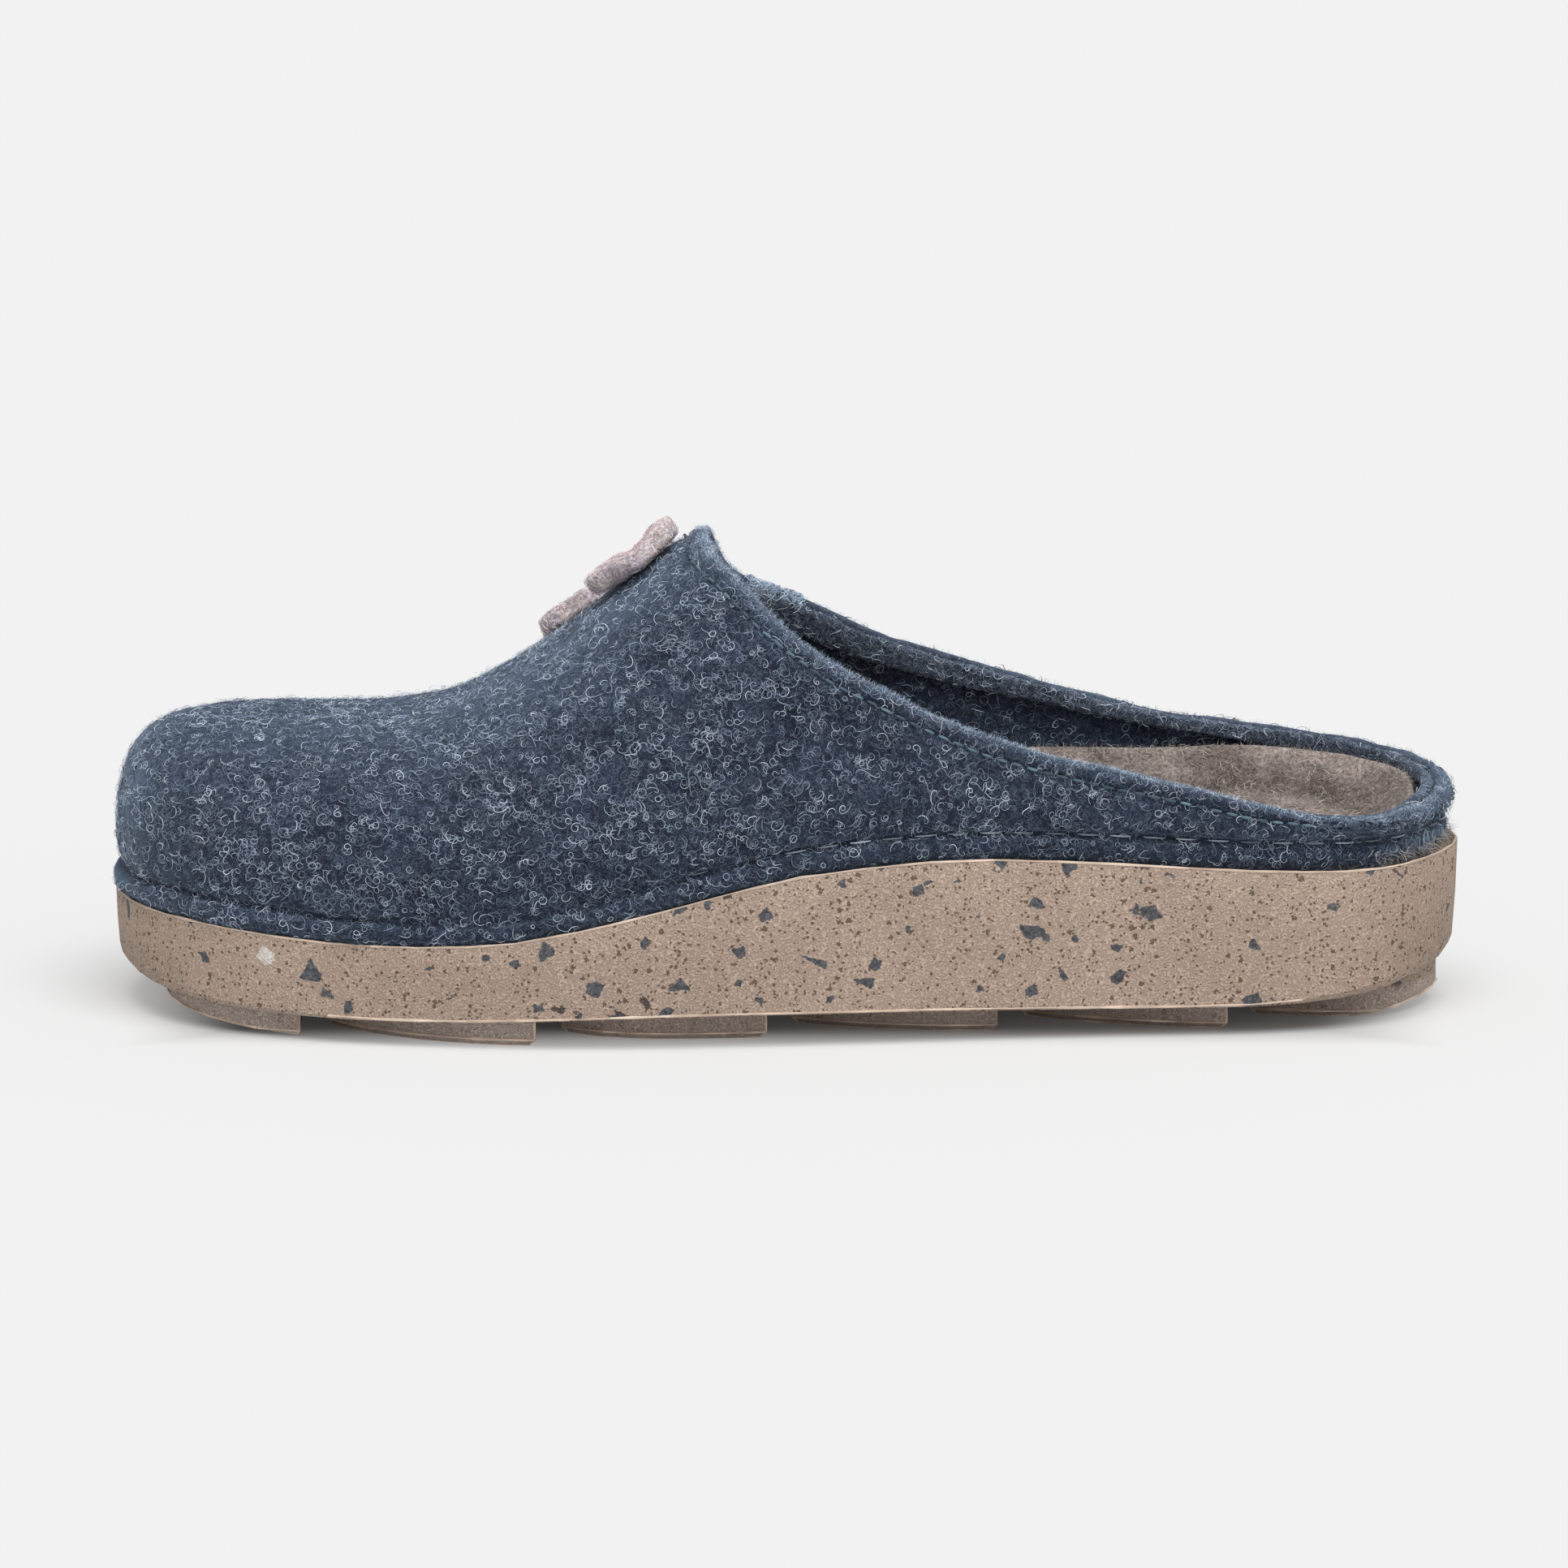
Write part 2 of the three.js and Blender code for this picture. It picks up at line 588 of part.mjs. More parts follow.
// Run of points along one side of a lug, which draws in towards the lug's front.
function lugSide(front, back, inner) {
  const steps = 8;
  const inset = (u, way) => {
    const side = read(LUG_SIDE, "inset", rowAlong(u)) * LUG_INSET;
    return side + LUG_BEVEL + LUG_SWEEP * (1 - way) ** 2;
  };
  const find = (x, way) =>
    bisect(0, 1, (u) => outlineAt(turnOf(u, inner), inset(u, way)).x - x);
  const start = find(front, 0);
  const end = find(back, 1);
  return Array.from({ length: steps + 1 }, (_, i) => {
    const way = i / steps;
    const u = mix(start, end, way);
    const point = outlineAt(turnOf(u, inner), inset(u, way));
    return new THREE.Vector2(point.x, point.y);
  });
}

// One lug across the tread: its ends draw in towards the front.
function lugGeometry(front, back) {
  const outer = lugSide(front, back, false);
  const inner = lugSide(front, back, true).reverse();
  const apart = (p, i, all) => p.distanceTo(all[(i + 1) % all.length]) > LUG_BEVEL / 2;
  const shape = new THREE.Shape([...outer, ...inner].filter(apart));
  return new THREE.ExtrudeGeometry(shape, {
    depth: 2 * LUG_HEIGHT - 2 * LUG_BEVEL,
    bevelSegments: 1,
    bevelSize: LUG_BEVEL,
    bevelThickness: LUG_BEVEL,
  }).translate(0, 0, LUG_BEVEL);
}

// Side profile of the tread, from the toe's rise over the flat to the heel's.
function treadEnvelope() {
  const steps = 40;
  const top = 3 * LUG_HEIGHT;
  const shape = new THREE.Shape();
  shape.moveTo(lengthwise(0), top);
  for (let i = 0; i <= steps; i += 1) {
    const along = i / steps;
    shape.lineTo(lengthwise(along), treadHeight(along));
  }
  shape.lineTo(lengthwise(1), top);
  const width = 2 * BALL_WIDTH;
  return new THREE.ExtrudeGeometry(shape, { depth: width, bevelEnabled: false })
    .rotateX(QUARTER)
    .translate(0, width / 2, 0);
}

const wasm = await Module();
wasm.setup();

// Turns a geometry into a solid that can be joined and cut.
function toSolid(geometry) {
  const bare = geometry.clone();
  bare.deleteAttribute("normal");
  bare.deleteAttribute("uv");
  const merged = mergeVertices(bare, 1e-4);
  return new wasm.Manifold(
    new wasm.Mesh({
      numProp: 3,
      vertProperties: new Float32Array(merged.attributes.position.array),
      triVerts: new Uint32Array(merged.index.array),
    }),
  );
}

function fromSolid(solid) {
  const mesh = solid.getMesh();
  const geometry = new THREE.BufferGeometry();
  geometry.setAttribute("position", new THREE.BufferAttribute(mesh.vertProperties, 3));
  geometry.setIndex(new THREE.BufferAttribute(mesh.triVerts, 1));
  return geometry;
}

// Moulded sole: the body with a row of lugs under it.
function soleGeometry() {
  const stops = [TREAD_FRONT, ...GROOVES_ALONG, TREAD_BACK];
  const half = LUG_GROOVE / 2 + LUG_BEVEL;
  let lugs = null;
  for (let i = 0; i < stops.length - 1; i += 1) {
    const front = lengthwise(stops[i]) + half;
    const back = lengthwise(stops[i + 1]) - half;
    const lug = toSolid(lugGeometry(front, back));
    lugs = lugs ? lugs.add(lug) : lug;
  }
  const tread = lugs.intersect(toSolid(treadEnvelope()));
  return fromSolid(toSolid(soleBodyGeometry()).add(tread));
}

// Felt blossom with round petals, lying in its own XY plane.
function blossomGeometry(radius) {
  const petal = 0.43 * radius;
  const centre = radius - petal;
  const half = Math.PI / BLOSSOM_PETALS;
  const notch = centre * Math.cos(half) + Math.sqrt(petal ** 2 - (centre * Math.sin(half)) ** 2);
  const sweep = Math.atan2(notch * Math.sin(half), notch * Math.cos(half) - centre);
  const steps = 8;
  const outline = [];
  for (let i = 0; i < BLOSSOM_PETALS; i += 1) {
    const way = 2 * half * i;
    for (let j = 0; j < steps; j += 1) {
      const at = way + mix(-sweep, sweep, (j + 0.5) / steps);
      const x = centre * Math.cos(way) + petal * Math.cos(at);
      const y = centre * Math.sin(way) + petal * Math.sin(at);
      outline.push(new THREE.Vector2(x, y));
    }
  }
  const profile = [
    { share: 0, up: 0 },
    { share: 0.5, up: 0 },
    { share: 0.93, up: 0 },
    { share: 1, up: 0.2 },
    { share: 1, up: 0.8 },
    { share: 0.93, up: 1 },
    { share: 0.5, up: 1 },
    { share: 0, up: 1 },
  ];
  const rows = profile.map(({ share, up }) =>
    outline.map((point) => new THREE.Vector3(point.x * share, point.y * share, up * BLOSSOM_FELT)),
  );
  return skin(rows);
}

// Curls a blossom's petals up, and lets it hang down along Y.
function bend(geometry, radius, { curl, hang }) {
  const place = geometry.attributes.position;
  for (let i = 0; i < place.count; i += 1) {
    const x = place.getX(i) / radius;
    const y = place.getY(i) / radius;
    const rise = curl * (x * x + y * y) - hang * y * y;
    place.setZ(i, place.getZ(i) + rise * BLOSSOM_FELT);
  }
  return geometry;
}

// Walks over the last's surface in a direction, and returns where it ends.
function walk(turn, angle, way, distance) {
  const legs = 6;
  const at = { turn, angle };
  for (let i = 0; i < legs; i += 1) {
    const { around, up } = surfaceSteps(at.turn, at.angle);
    const aa = around.dot(around);
    const ab = around.dot(up);
    const bb = up.dot(up);
    const wa = (way.dot(around) * distance) / legs;
    const wb = (way.dot(up) * distance) / legs;
    const det = aa * bb - ab * ab;
    at.turn += (wa * bb - wb * ab) / det;
    at.angle += (wb * aa - wa * ab) / det;
  }
  return at;
}

// Seats a blossom on the upper: its middle touches, and its petals lie over the curve.
function seatBlossom(mesh, { along, aside, tilt, clear }) {
  const u = bisect(0, 1, (v) => spineAt(v).along - along);
  const way = spineWay(u);
  const turn = turnOf(u, true);
  const side = wallNormal(turn, QUARTER).cross(way);
  const at = walk(turn, QUARTER - 1e-3, side, aside * BALL_WIDTH);
  const normal = wallNormal(at.turn, at.angle);
  const forward = way.addScaledVector(normal, -way.dot(normal)).normalize();
  const sideways = normal.clone().cross(forward);
  const basis = new THREE.Matrix4().makeBasis(forward, sideways, normal);
  mesh.quaternion.setFromRotationMatrix(basis);
  mesh.rotateX(-tilt);
  const stand = clear * GAP;
  mesh.position.copy(lastPoint(at.turn, at.angle)).addScaledVector(normal, stand);
}

function piece(name, geometry, material) {
  const mesh = new THREE.Mesh(geometry, material);
  mesh.name = name;
  return mesh;
}

const clog = new THREE.Group();
clog.add(piece("upper", upperGeometry(), NAVY_FELT));
clog.add(piece("collar_facing", facingGeometry(), NAVY_FELT));
clog.add(piece("insole", insoleGeometry(), GREY_FELT));
clog.add(piece("outsole", soleGeometry(), TAN_FOAM));

function addBlossom(name, radius, seat) {
  const flat = blossomGeometry(radius).rotateZ(seat.spin);
  const mesh = piece(name, bend(flat, radius, seat), ROSE_FELT);
  seatBlossom(mesh, seat);
  clog.add(mesh);
}

addBlossom("blossom_large", LARGE_BLOSSOM_RADIUS, LARGE_BLOSSOM);
addBlossom("blossom_small", SMALL_BLOSSOM_RADIUS, SMALL_BLOSSOM);

// The origin is on the floor, under the middle of the whole shoe.
const extent = new THREE.Box3().setFromObject(clog, true);
const middle = extent.getCenter(new THREE.Vector3());
clog.position.set(-middle.x, -middle.y, -extent.min.z);

export default clog;
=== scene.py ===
"""Looks of the felt clog: wool felt with curled fibres and stitches, fuzzy footbed, speckled foam sole."""

import math

import bmesh
import bpy
import numpy as np
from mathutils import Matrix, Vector, noise
from mathutils.bvhtree import BVHTree


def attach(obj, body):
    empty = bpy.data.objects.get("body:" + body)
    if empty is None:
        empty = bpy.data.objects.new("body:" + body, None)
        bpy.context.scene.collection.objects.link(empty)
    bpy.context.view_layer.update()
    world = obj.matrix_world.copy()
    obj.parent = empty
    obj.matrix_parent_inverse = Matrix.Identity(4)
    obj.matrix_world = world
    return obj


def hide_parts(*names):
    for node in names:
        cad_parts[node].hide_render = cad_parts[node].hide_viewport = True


MM = 0.001

# A point in the open collar, over the footbed
COLLAR_MIDDLE = Vector((45 * MM, -3 * MM, 35 * MM))
# Longer than any way across the shoe, and higher than any point of it
FAR_OFF = 0.3
OVER_ALL = 0.12
# Halvings that find a wall's edge to well under a hundredth of a millimetre
HALVINGS = 18

# Seams of the upper: where they lie, how deep the felt dips and how wide the dip is
STITCHES_UNDER_EDGE = 3.7 * MM
STITCH_DIP = 0.8 * MM
STITCH_DIP_WIDTH = 0.8 * MM
HEM_SEAM_HEIGHT = 5.6 * MM
HEM_DIP = 0.5 * MM
HEM_DIP_WIDTH = 0.7 * MM
FINE_MESH_REACH = 4 * MM
# Width of the painted highlight along the collar's cut rim
RIM_HIGHLIGHT_WIDTH = 1.3 * MM

# Soft trough inside the footbed's raised edge
TROUGH_FROM_SIDE = 8 * MM
TROUGH_WIDTH = 2.6 * MM
TROUGH_DEPTH = 1.5 * MM

# Soft fold between two petals of the large blossom
PETAL_FOLD_AT = -29 * MM
PETAL_FOLD_WIDTH = 2.2 * MM
PETAL_FOLD_DEPTH = 1.3 * MM

SOLE_EDGE_ANGLE = math.radians(32)
FLASH_ANGLE = math.radians(38)

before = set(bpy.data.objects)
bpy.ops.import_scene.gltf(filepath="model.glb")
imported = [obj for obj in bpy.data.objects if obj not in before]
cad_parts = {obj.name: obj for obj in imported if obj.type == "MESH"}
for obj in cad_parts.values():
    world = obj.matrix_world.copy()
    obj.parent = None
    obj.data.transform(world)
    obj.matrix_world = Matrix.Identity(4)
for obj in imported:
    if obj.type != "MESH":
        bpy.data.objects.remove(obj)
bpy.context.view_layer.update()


# Pieces


def clear_selection():
    """Leaves nothing selected, so that the next operator acts on its own piece alone."""
    bpy.ops.object.select_all(action="DESELECT")


def pick(piece):
    """Makes one piece the only selected and active object."""
    clear_selection()
    piece.select_set(True)
    bpy.context.view_layer.objects.active = piece


def add_piece(name, mesh):
    """A new object with its mesh, at the origin."""
    piece = bpy.data.objects.new(name, mesh)
    bpy.context.scene.collection.objects.link(piece)
    return piece


def copy_of_node(node, name, levels):
    """A finer copy of a CAD solid: merged, back to four-sided faces, and subdivided."""
    piece = add_piece(name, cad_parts[node].data.copy())
    pick(piece)
    bpy.ops.mesh.customdata_custom_splitnormals_clear()
    bpy.ops.object.mode_set(mode="EDIT")
    bpy.ops.mesh.select_all(action="SELECT")
    bpy.ops.mesh.remove_doubles(threshold=0.01 * MM)
    bpy.ops.mesh.tris_convert_to_quads(face_threshold=math.radians(60), shape_threshold=math.radians(60))
    bpy.ops.object.mode_set(mode="OBJECT")
    if levels:
        rounding = piece.modifiers.new("rounding", "SUBSURF")
        rounding.levels = levels
        rounding.render_levels = levels
        bpy.ops.object.modifier_apply(modifier=rounding.name)
    bpy.ops.object.shade_smooth()
    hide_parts(node)
    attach(piece, "root")
    return piece


def refine(piece, near):
    """Subdivides the faces whose middles lie where near says."""
    pick(piece)
    mesh = piece.data
    middles = np.empty(3 * len(mesh.polygons))
    mesh.polygons.foreach_get("center", middles)
    chosen = near(middles.reshape(-1, 3))
    bpy.ops.object.mode_set(mode="EDIT")
    bpy.ops.mesh.select_mode(type="FACE")
    bpy.ops.mesh.select_all(action="DESELECT")
    bpy.ops.object.mode_set(mode="OBJECT")
    mesh.polygons.foreach_set("select", chosen)
    bpy.ops.object.mode_set(mode="EDIT")
    bpy.ops.mesh.subdivide(number_cuts=1, smoothness=1.0)
    bpy.ops.object.mode_set(mode="OBJECT")


def coordinates(mesh):
    values = np.empty(3 * len(mesh.vertices))
    mesh.vertices.foreach_get("co", values)
    return values.reshape(-1, 3)


def normals(mesh):
    values = np.empty(3 * len(mesh.vertices))
    mesh.vertices.foreach_get("normal", values)
    return values.reshape(-1, 3)


def push(piece, lift):
    """Moves a piece's surface outwards. lift: metres for each vertex."""
    places = coordinates(piece.data) + normals(piece.data) * lift[:, None]
    piece.data.vertices.foreach_set("co", places.ravel())
    piece.data.update()


def mark(piece, name, values):
    """Stores a number on each vertex for the shader."""
    piece.data.attributes.new(name, "FLOAT", "POINT").data.foreach_set("value", np.clip(values, 0, 1))


def lumps(places, size):
    """Soft noise from -1 to 1 whose lumps are about size metres across."""
    return np.array([noise.noise(Vector(p) / size) for p in places])


def soften(piece, waves):
    """Moves the surface in and out in soft lumps. waves: (size of a lump, how far it moves)."""
    places = coordinates(piece.data)
    push(piece, sum(reach * lumps(places, size) for size, reach in waves))


# Lines along the shoe, found on its solids


def tree_of(mesh):
    """Search tree over a mesh's triangles."""
    mesh.calc_loop_triangles()
    corners = np.empty(3 * len(mesh.loop_triangles), dtype=np.int32)
    mesh.loop_triangles.foreach_get("vertices", corners)
    return BVHTree.FromPolygons(coordinates(mesh).tolist(), corners.reshape(-1, 3).tolist())


def rim_line(tree, centre, steps):
    """Top edge of the wall round the collar, looked for outwards from a point in the opening."""
    line = []
    for step in range(steps):
        turn = math.tau * step / steps
        way = Vector((math.cos(turn), math.sin(turn), 0.0))
        low, high, edge = centre.z, OVER_ALL, None
        for _ in range(HALVINGS):
            middle = (low + high) / 2
            hit = tree.ray_cast(Vector((centre.x, centre.y, middle)), way)[0]
            if hit:
                low, edge = middle, hit
            else:
                high = middle
        line.append(edge)
    return np.array(line)


def evenly(line, spacing):
    """Points at even spacing along a closed line."""
    closed = np.vstack([line, line[:1]])
    reach = np.concatenate([[0], np.cumsum(np.linalg.norm(np.diff(closed, axis=0), axis=1))])
    at = reach[-1] * np.arange(int(reach[-1] / spacing)) / int(reach[-1] / spacing)
    return np.stack([np.interp(at, reach, closed[:, i]) for i in range(3)], axis=1)


def tangents(line):
    """Unit ways along a closed line."""
    ways = np.roll(line, -2, axis=0) - np.roll(line, 2, axis=0)
    return ways / np.linalg.norm(ways, axis=1)[:, None]


def smoothed(line, rounds):
    """A closed line with each point drawn towards its two neighbours."""
    for _ in range(rounds):
        line = (np.roll(line, 1, axis=0) + 2 * line + np.roll(line, -1, axis=0)) / 4
    return line


def under_rim(tree, line, below):
    """Line on the wall's outer face at a distance under its rim, with the face's outward ways."""
    places, ways = [], []
    for place, along in zip(line, tangents(line)):
        out = Vector((along[1], -along[0], 0)).normalized()
        out = out if out.dot(Vector((place[0] - COLLAR_MIDDLE.x, place[1], 0))) > 0 else -out
        for step in range(60):
            angle = math.radians(50 - 3 * step)
            probe = Vector(place) + below * (math.cos(angle) * out + math.sin(angle) * Vector((0, 0, 1)))
            near, way = tree.find_nearest(probe)[:2]
            if (probe - near).dot(way) < 0:
                break
        places.append(near)
        ways.append(way)
    return smoothed(np.array(places), 8), np.array(ways)


def hem_line(tree, rise, steps):
    """Line round the wall's outer face at a height above the wall's foot, with the face's ways."""
    places, ways = [], []
    for step in range(steps):
        turn = math.tau * step / steps
        out = Vector((math.cos(turn), math.sin(turn), 0.0))
        low, high = 0.0, 45 * MM
        for _ in range(HALVINGS):
            middle = (low + high) / 2
            if tree.ray_cast(FAR_OFF * out + Vector((0, 0, middle)), -out, FAR_OFF)[0]:
                high = middle
            else:
                low = middle
        place, way = tree.ray_cast(FAR_OFF * out + Vector((0, 0, high + rise)), -out)[:2]
        places.append(place)
        ways.append(Vector((way.x, way.y, 0)).normalized())
    return np.array(places), np.array(ways)


def distance_to(line, places):
    """Distance from each place to the nearest point of a line."""
    parts = np.array_split(places, max(1, len(places) // 4000))
    return np.concatenate([np.linalg.norm(p[:, None] - line[None], axis=2).min(axis=1) for p in parts])


def bell(distance, width):
    """1 at no distance, falling off softly within about the width."""
    return np.exp(-((distance / width) ** 2))


# Shader node groups


def new_group(name, inputs, outputs):
    """An empty shader node group with named number inputs and outputs."""
    group = bpy.data.node_groups.new(name, "ShaderNodeTree")
    for label, value in inputs.items():
        group.interface.new_socket(label, in_out="INPUT", socket_type="NodeSocketFloat").default_value = value
    for label in outputs:
        group.interface.new_socket(label, in_out="OUTPUT", socket_type="NodeSocketFloat")
    return group


class Wiring:
    """Adds nodes to a tree and joins them. A value may be a number, a colour or a socket."""

    def __init__(self, tree):
        self.tree = tree

    def add(self, kind, **settings):
        node = self.tree.nodes.new(kind)
        for label, value in settings.items():
            setattr(node, label, value)
        return node

    def join(self, value, socket):
        if isinstance(value, bpy.types.NodeSocket):
            self.tree.links.new(value, socket)
        elif value is not None:
            socket.default_value = value

    def math(self, operation, a, b=None):
        node = self.add("ShaderNodeMath", operation=operation)
        self.join(a, node.inputs[0])
        self.join(b, node.inputs[1])
        return node.outputs[0]

    def ramp(self, value, low, high, to_low=0.0, to_high=1.0):
        """Maps a value smoothly from one range to another."""
        node = self.add("ShaderNodeMapRange", interpolation_type="SMOOTHSTEP")
        for socket, given in zip(node.inputs, (value, low, high, to_low, to_high)):
            self.join(given, socket)
        return node.outputs[0]

    def blend(self, share, a, b, mode="MIX"):
        """Mixes two colours, which are a colour Mix node's seventh and eighth inputs."""
        node = self.add("ShaderNodeMix", data_type="RGBA", blend_type=mode)
        self.join(share, node.inputs[0])
        self.join(a, node.inputs[6])
        self.join(b, node.inputs[7])
        return node.outputs[2]

    def place(self):
        return self.add("ShaderNodeTexCoord").outputs["Object"]

    def shifted(self, where, by):
        node = self.add("ShaderNodeVectorMath", operation="ADD")
        self.join(where, node.inputs[0])
        self.join(by, node.inputs[1])
        return node.outputs[0]

    def noise(self, size, where=None, detail=0.0, distortion=0.0):
        """Noise whose features are about size metres across."""
        node = self.add("ShaderNodeTexNoise")
        self.join(where or self.place(), node.inputs["Vector"])
        scale = self.math("DIVIDE", 1.0, size) if isinstance(size, bpy.types.NodeSocket) else 1.0 / size
        self.join(scale, node.inputs["Scale"])
        node.inputs["Detail"].default_value = detail
        node.inputs["Distortion"].default_value = distortion
        return node

    def cells(self, size, where, feature="F1"):
        node = self.add("ShaderNodeTexVoronoi", feature=feature)
        self.join(where, node.inputs["Vector"])
        node.inputs["Scale"].default_value = 1.0 / size
        return node

    def bump(self, height, strength, distance):
        node = self.add("ShaderNodeBump")
        node.inputs["Strength"].default_value = strength
        node.inputs["Distance"].default_value = distance
        self.join(height, node.inputs["Height"])
        return node.outputs["Normal"]


def fibre_group():
    """Fine wool fibres in the felt: thin curly lines in four sizes, and soft patches."""
    group = new_group(
        "wool_fibres",
        {"Curl Size": 1.2 * MM, "Line Width": 0.05, "Patch Size": 9 * MM},
        ("Fibre", "Patch", "Height"),
    )
    w = Wiring(group)
    given = w.add("NodeGroupInput")
    out = w.add("NodeGroupOutput")
    where = w.place()
    lines = None
    for turn, share in ((0.0, 1.0), (1.7, 0.7), (3.1, 0.45), (4.3, 0.85)):
        there = w.shifted(where, (turn, 0.4 * turn, 0.7 * turn))
        size = w.math("MULTIPLY", given.outputs["Curl Size"], share)
        field = w.noise(size, there, distortion=0.8).outputs["Fac"]
        off = w.math("ABSOLUTE", w.math("SUBTRACT", field, 0.5))
        line = w.ramp(off, 0.0, given.outputs["Line Width"], 1.0, 0.0)
        broken = w.ramp(w.noise(1.4 * MM, there).outputs["Fac"], 0.45, 0.6)
        line = w.math("MULTIPLY", line, broken)
        lines = line if lines is None else w.math("MAXIMUM", lines, line)
    patch = w.ramp(w.noise(given.outputs["Patch Size"], where, detail=2.0).outputs["Fac"], 0.3, 0.7)
    nap = w.noise(0.35 * MM, where, detail=2.0).outputs["Fac"]
    height = w.math("ADD", w.math("MULTIPLY", lines, 0.6), w.math("MULTIPLY", nap, 0.6))
    w.join(lines, out.inputs["Fibre"])
    w.join(patch, out.inputs["Patch"])
    w.join(height, out.inputs["Height"])
    return group


FIBRES = fibre_group()


def new_material(name, colour):
    """A material, the wiring of its nodes, and its shader."""
    material = bpy.data.materials.new(name)
    material.use_nodes = True
    material.diffuse_color = (*colour, 1)
    return material, Wiring(material.node_tree), material.node_tree.nodes["Principled BSDF"]


def felt_material(name, dark, pale, fibre, curl, share, sheen, tint):
    """Heathered wool felt: two wools in patches with paler fibres, darkened in creases as painted shade, and
    paler along the collar rim as a painted highlight.
    """
    material, w, shader = new_material(name, dark)
    fibres = w.add("ShaderNodeGroup", node_tree=FIBRES)
    fibres.inputs["Curl Size"].default_value = curl
    wool = w.blend(fibres.outputs["Patch"], (*dark, 1), (*pale, 1))
    heather = w.ramp(w.noise(0.6 * MM, detail=3.0).outputs["Fac"], 0.35, 0.65, 0.6, 1.4)
    wool = w.blend(1.0, wool, heather, "MULTIPLY")
    # Painted shade: darker where a piece marks its creases, as shade falls there
    crease_shade = w.add("ShaderNodeAttribute", attribute_name="crease_shade").outputs["Fac"]
    wool = w.blend(crease_shade, wool, (*(0.4 * c for c in dark), 1))
    # Painted highlight: paler wool along the collar's cut rim, where its fuzz catches the light
    rim_highlight = w.add("ShaderNodeAttribute", attribute_name="rim_highlight").outputs["Fac"]
    wool = w.blend(w.math("MULTIPLY", rim_highlight, 0.28), wool, (*fibre, 1))
    colour = w.blend(w.math("MULTIPLY", fibres.outputs["Fibre"], share), wool, (*fibre, 1))
    w.join(colour, shader.inputs["Base Color"])
    shader.inputs["Roughness"].default_value = 0.95
    shader.inputs["Specular IOR Level"].default_value = 0.1
    shader.inputs["Sheen Weight"].default_value = sheen
    shader.inputs["Sheen Roughness"].default_value = 0.5
    shader.inputs["Sheen Tint"].default_value = (*tint, 1)
    w.join(w.bump(fibres.outputs["Height"], 0.6, 0.3 * MM), shader.inputs["Normal"])
    return material


def yarn_material(name, colours, sheen=0.2):
    """Loose fibres and threads: each strand has its own shade, from the first colour to the last."""
    material, w, shader = new_material(name, colours[0])
    shade = w.add("ShaderNodeAttribute", attribute_name="shade").outputs["Fac"]
    colour = (*colours[0], 1)
    steps = len(colours) - 1
    for number, following in enumerate(colours[1:]):
        share = w.ramp(shade, number / steps, (number + 1) / steps)
        colour = w.blend(share, colour, (*following, 1))
    dusty = w.ramp(w.noise(6 * MM, detail=1.0).outputs["Fac"], 0.3, 0.7, 0.8, 1.15)
    w.join(w.blend(1.0, colour, dusty, "MULTIPLY"), shader.inputs["Base Color"])
    shader.inputs["Roughness"].default_value = 0.7
    shader.inputs["Specular IOR Level"].default_value = 0.25
    shader.inputs["Sheen Weight"].default_value = sheen
    return material


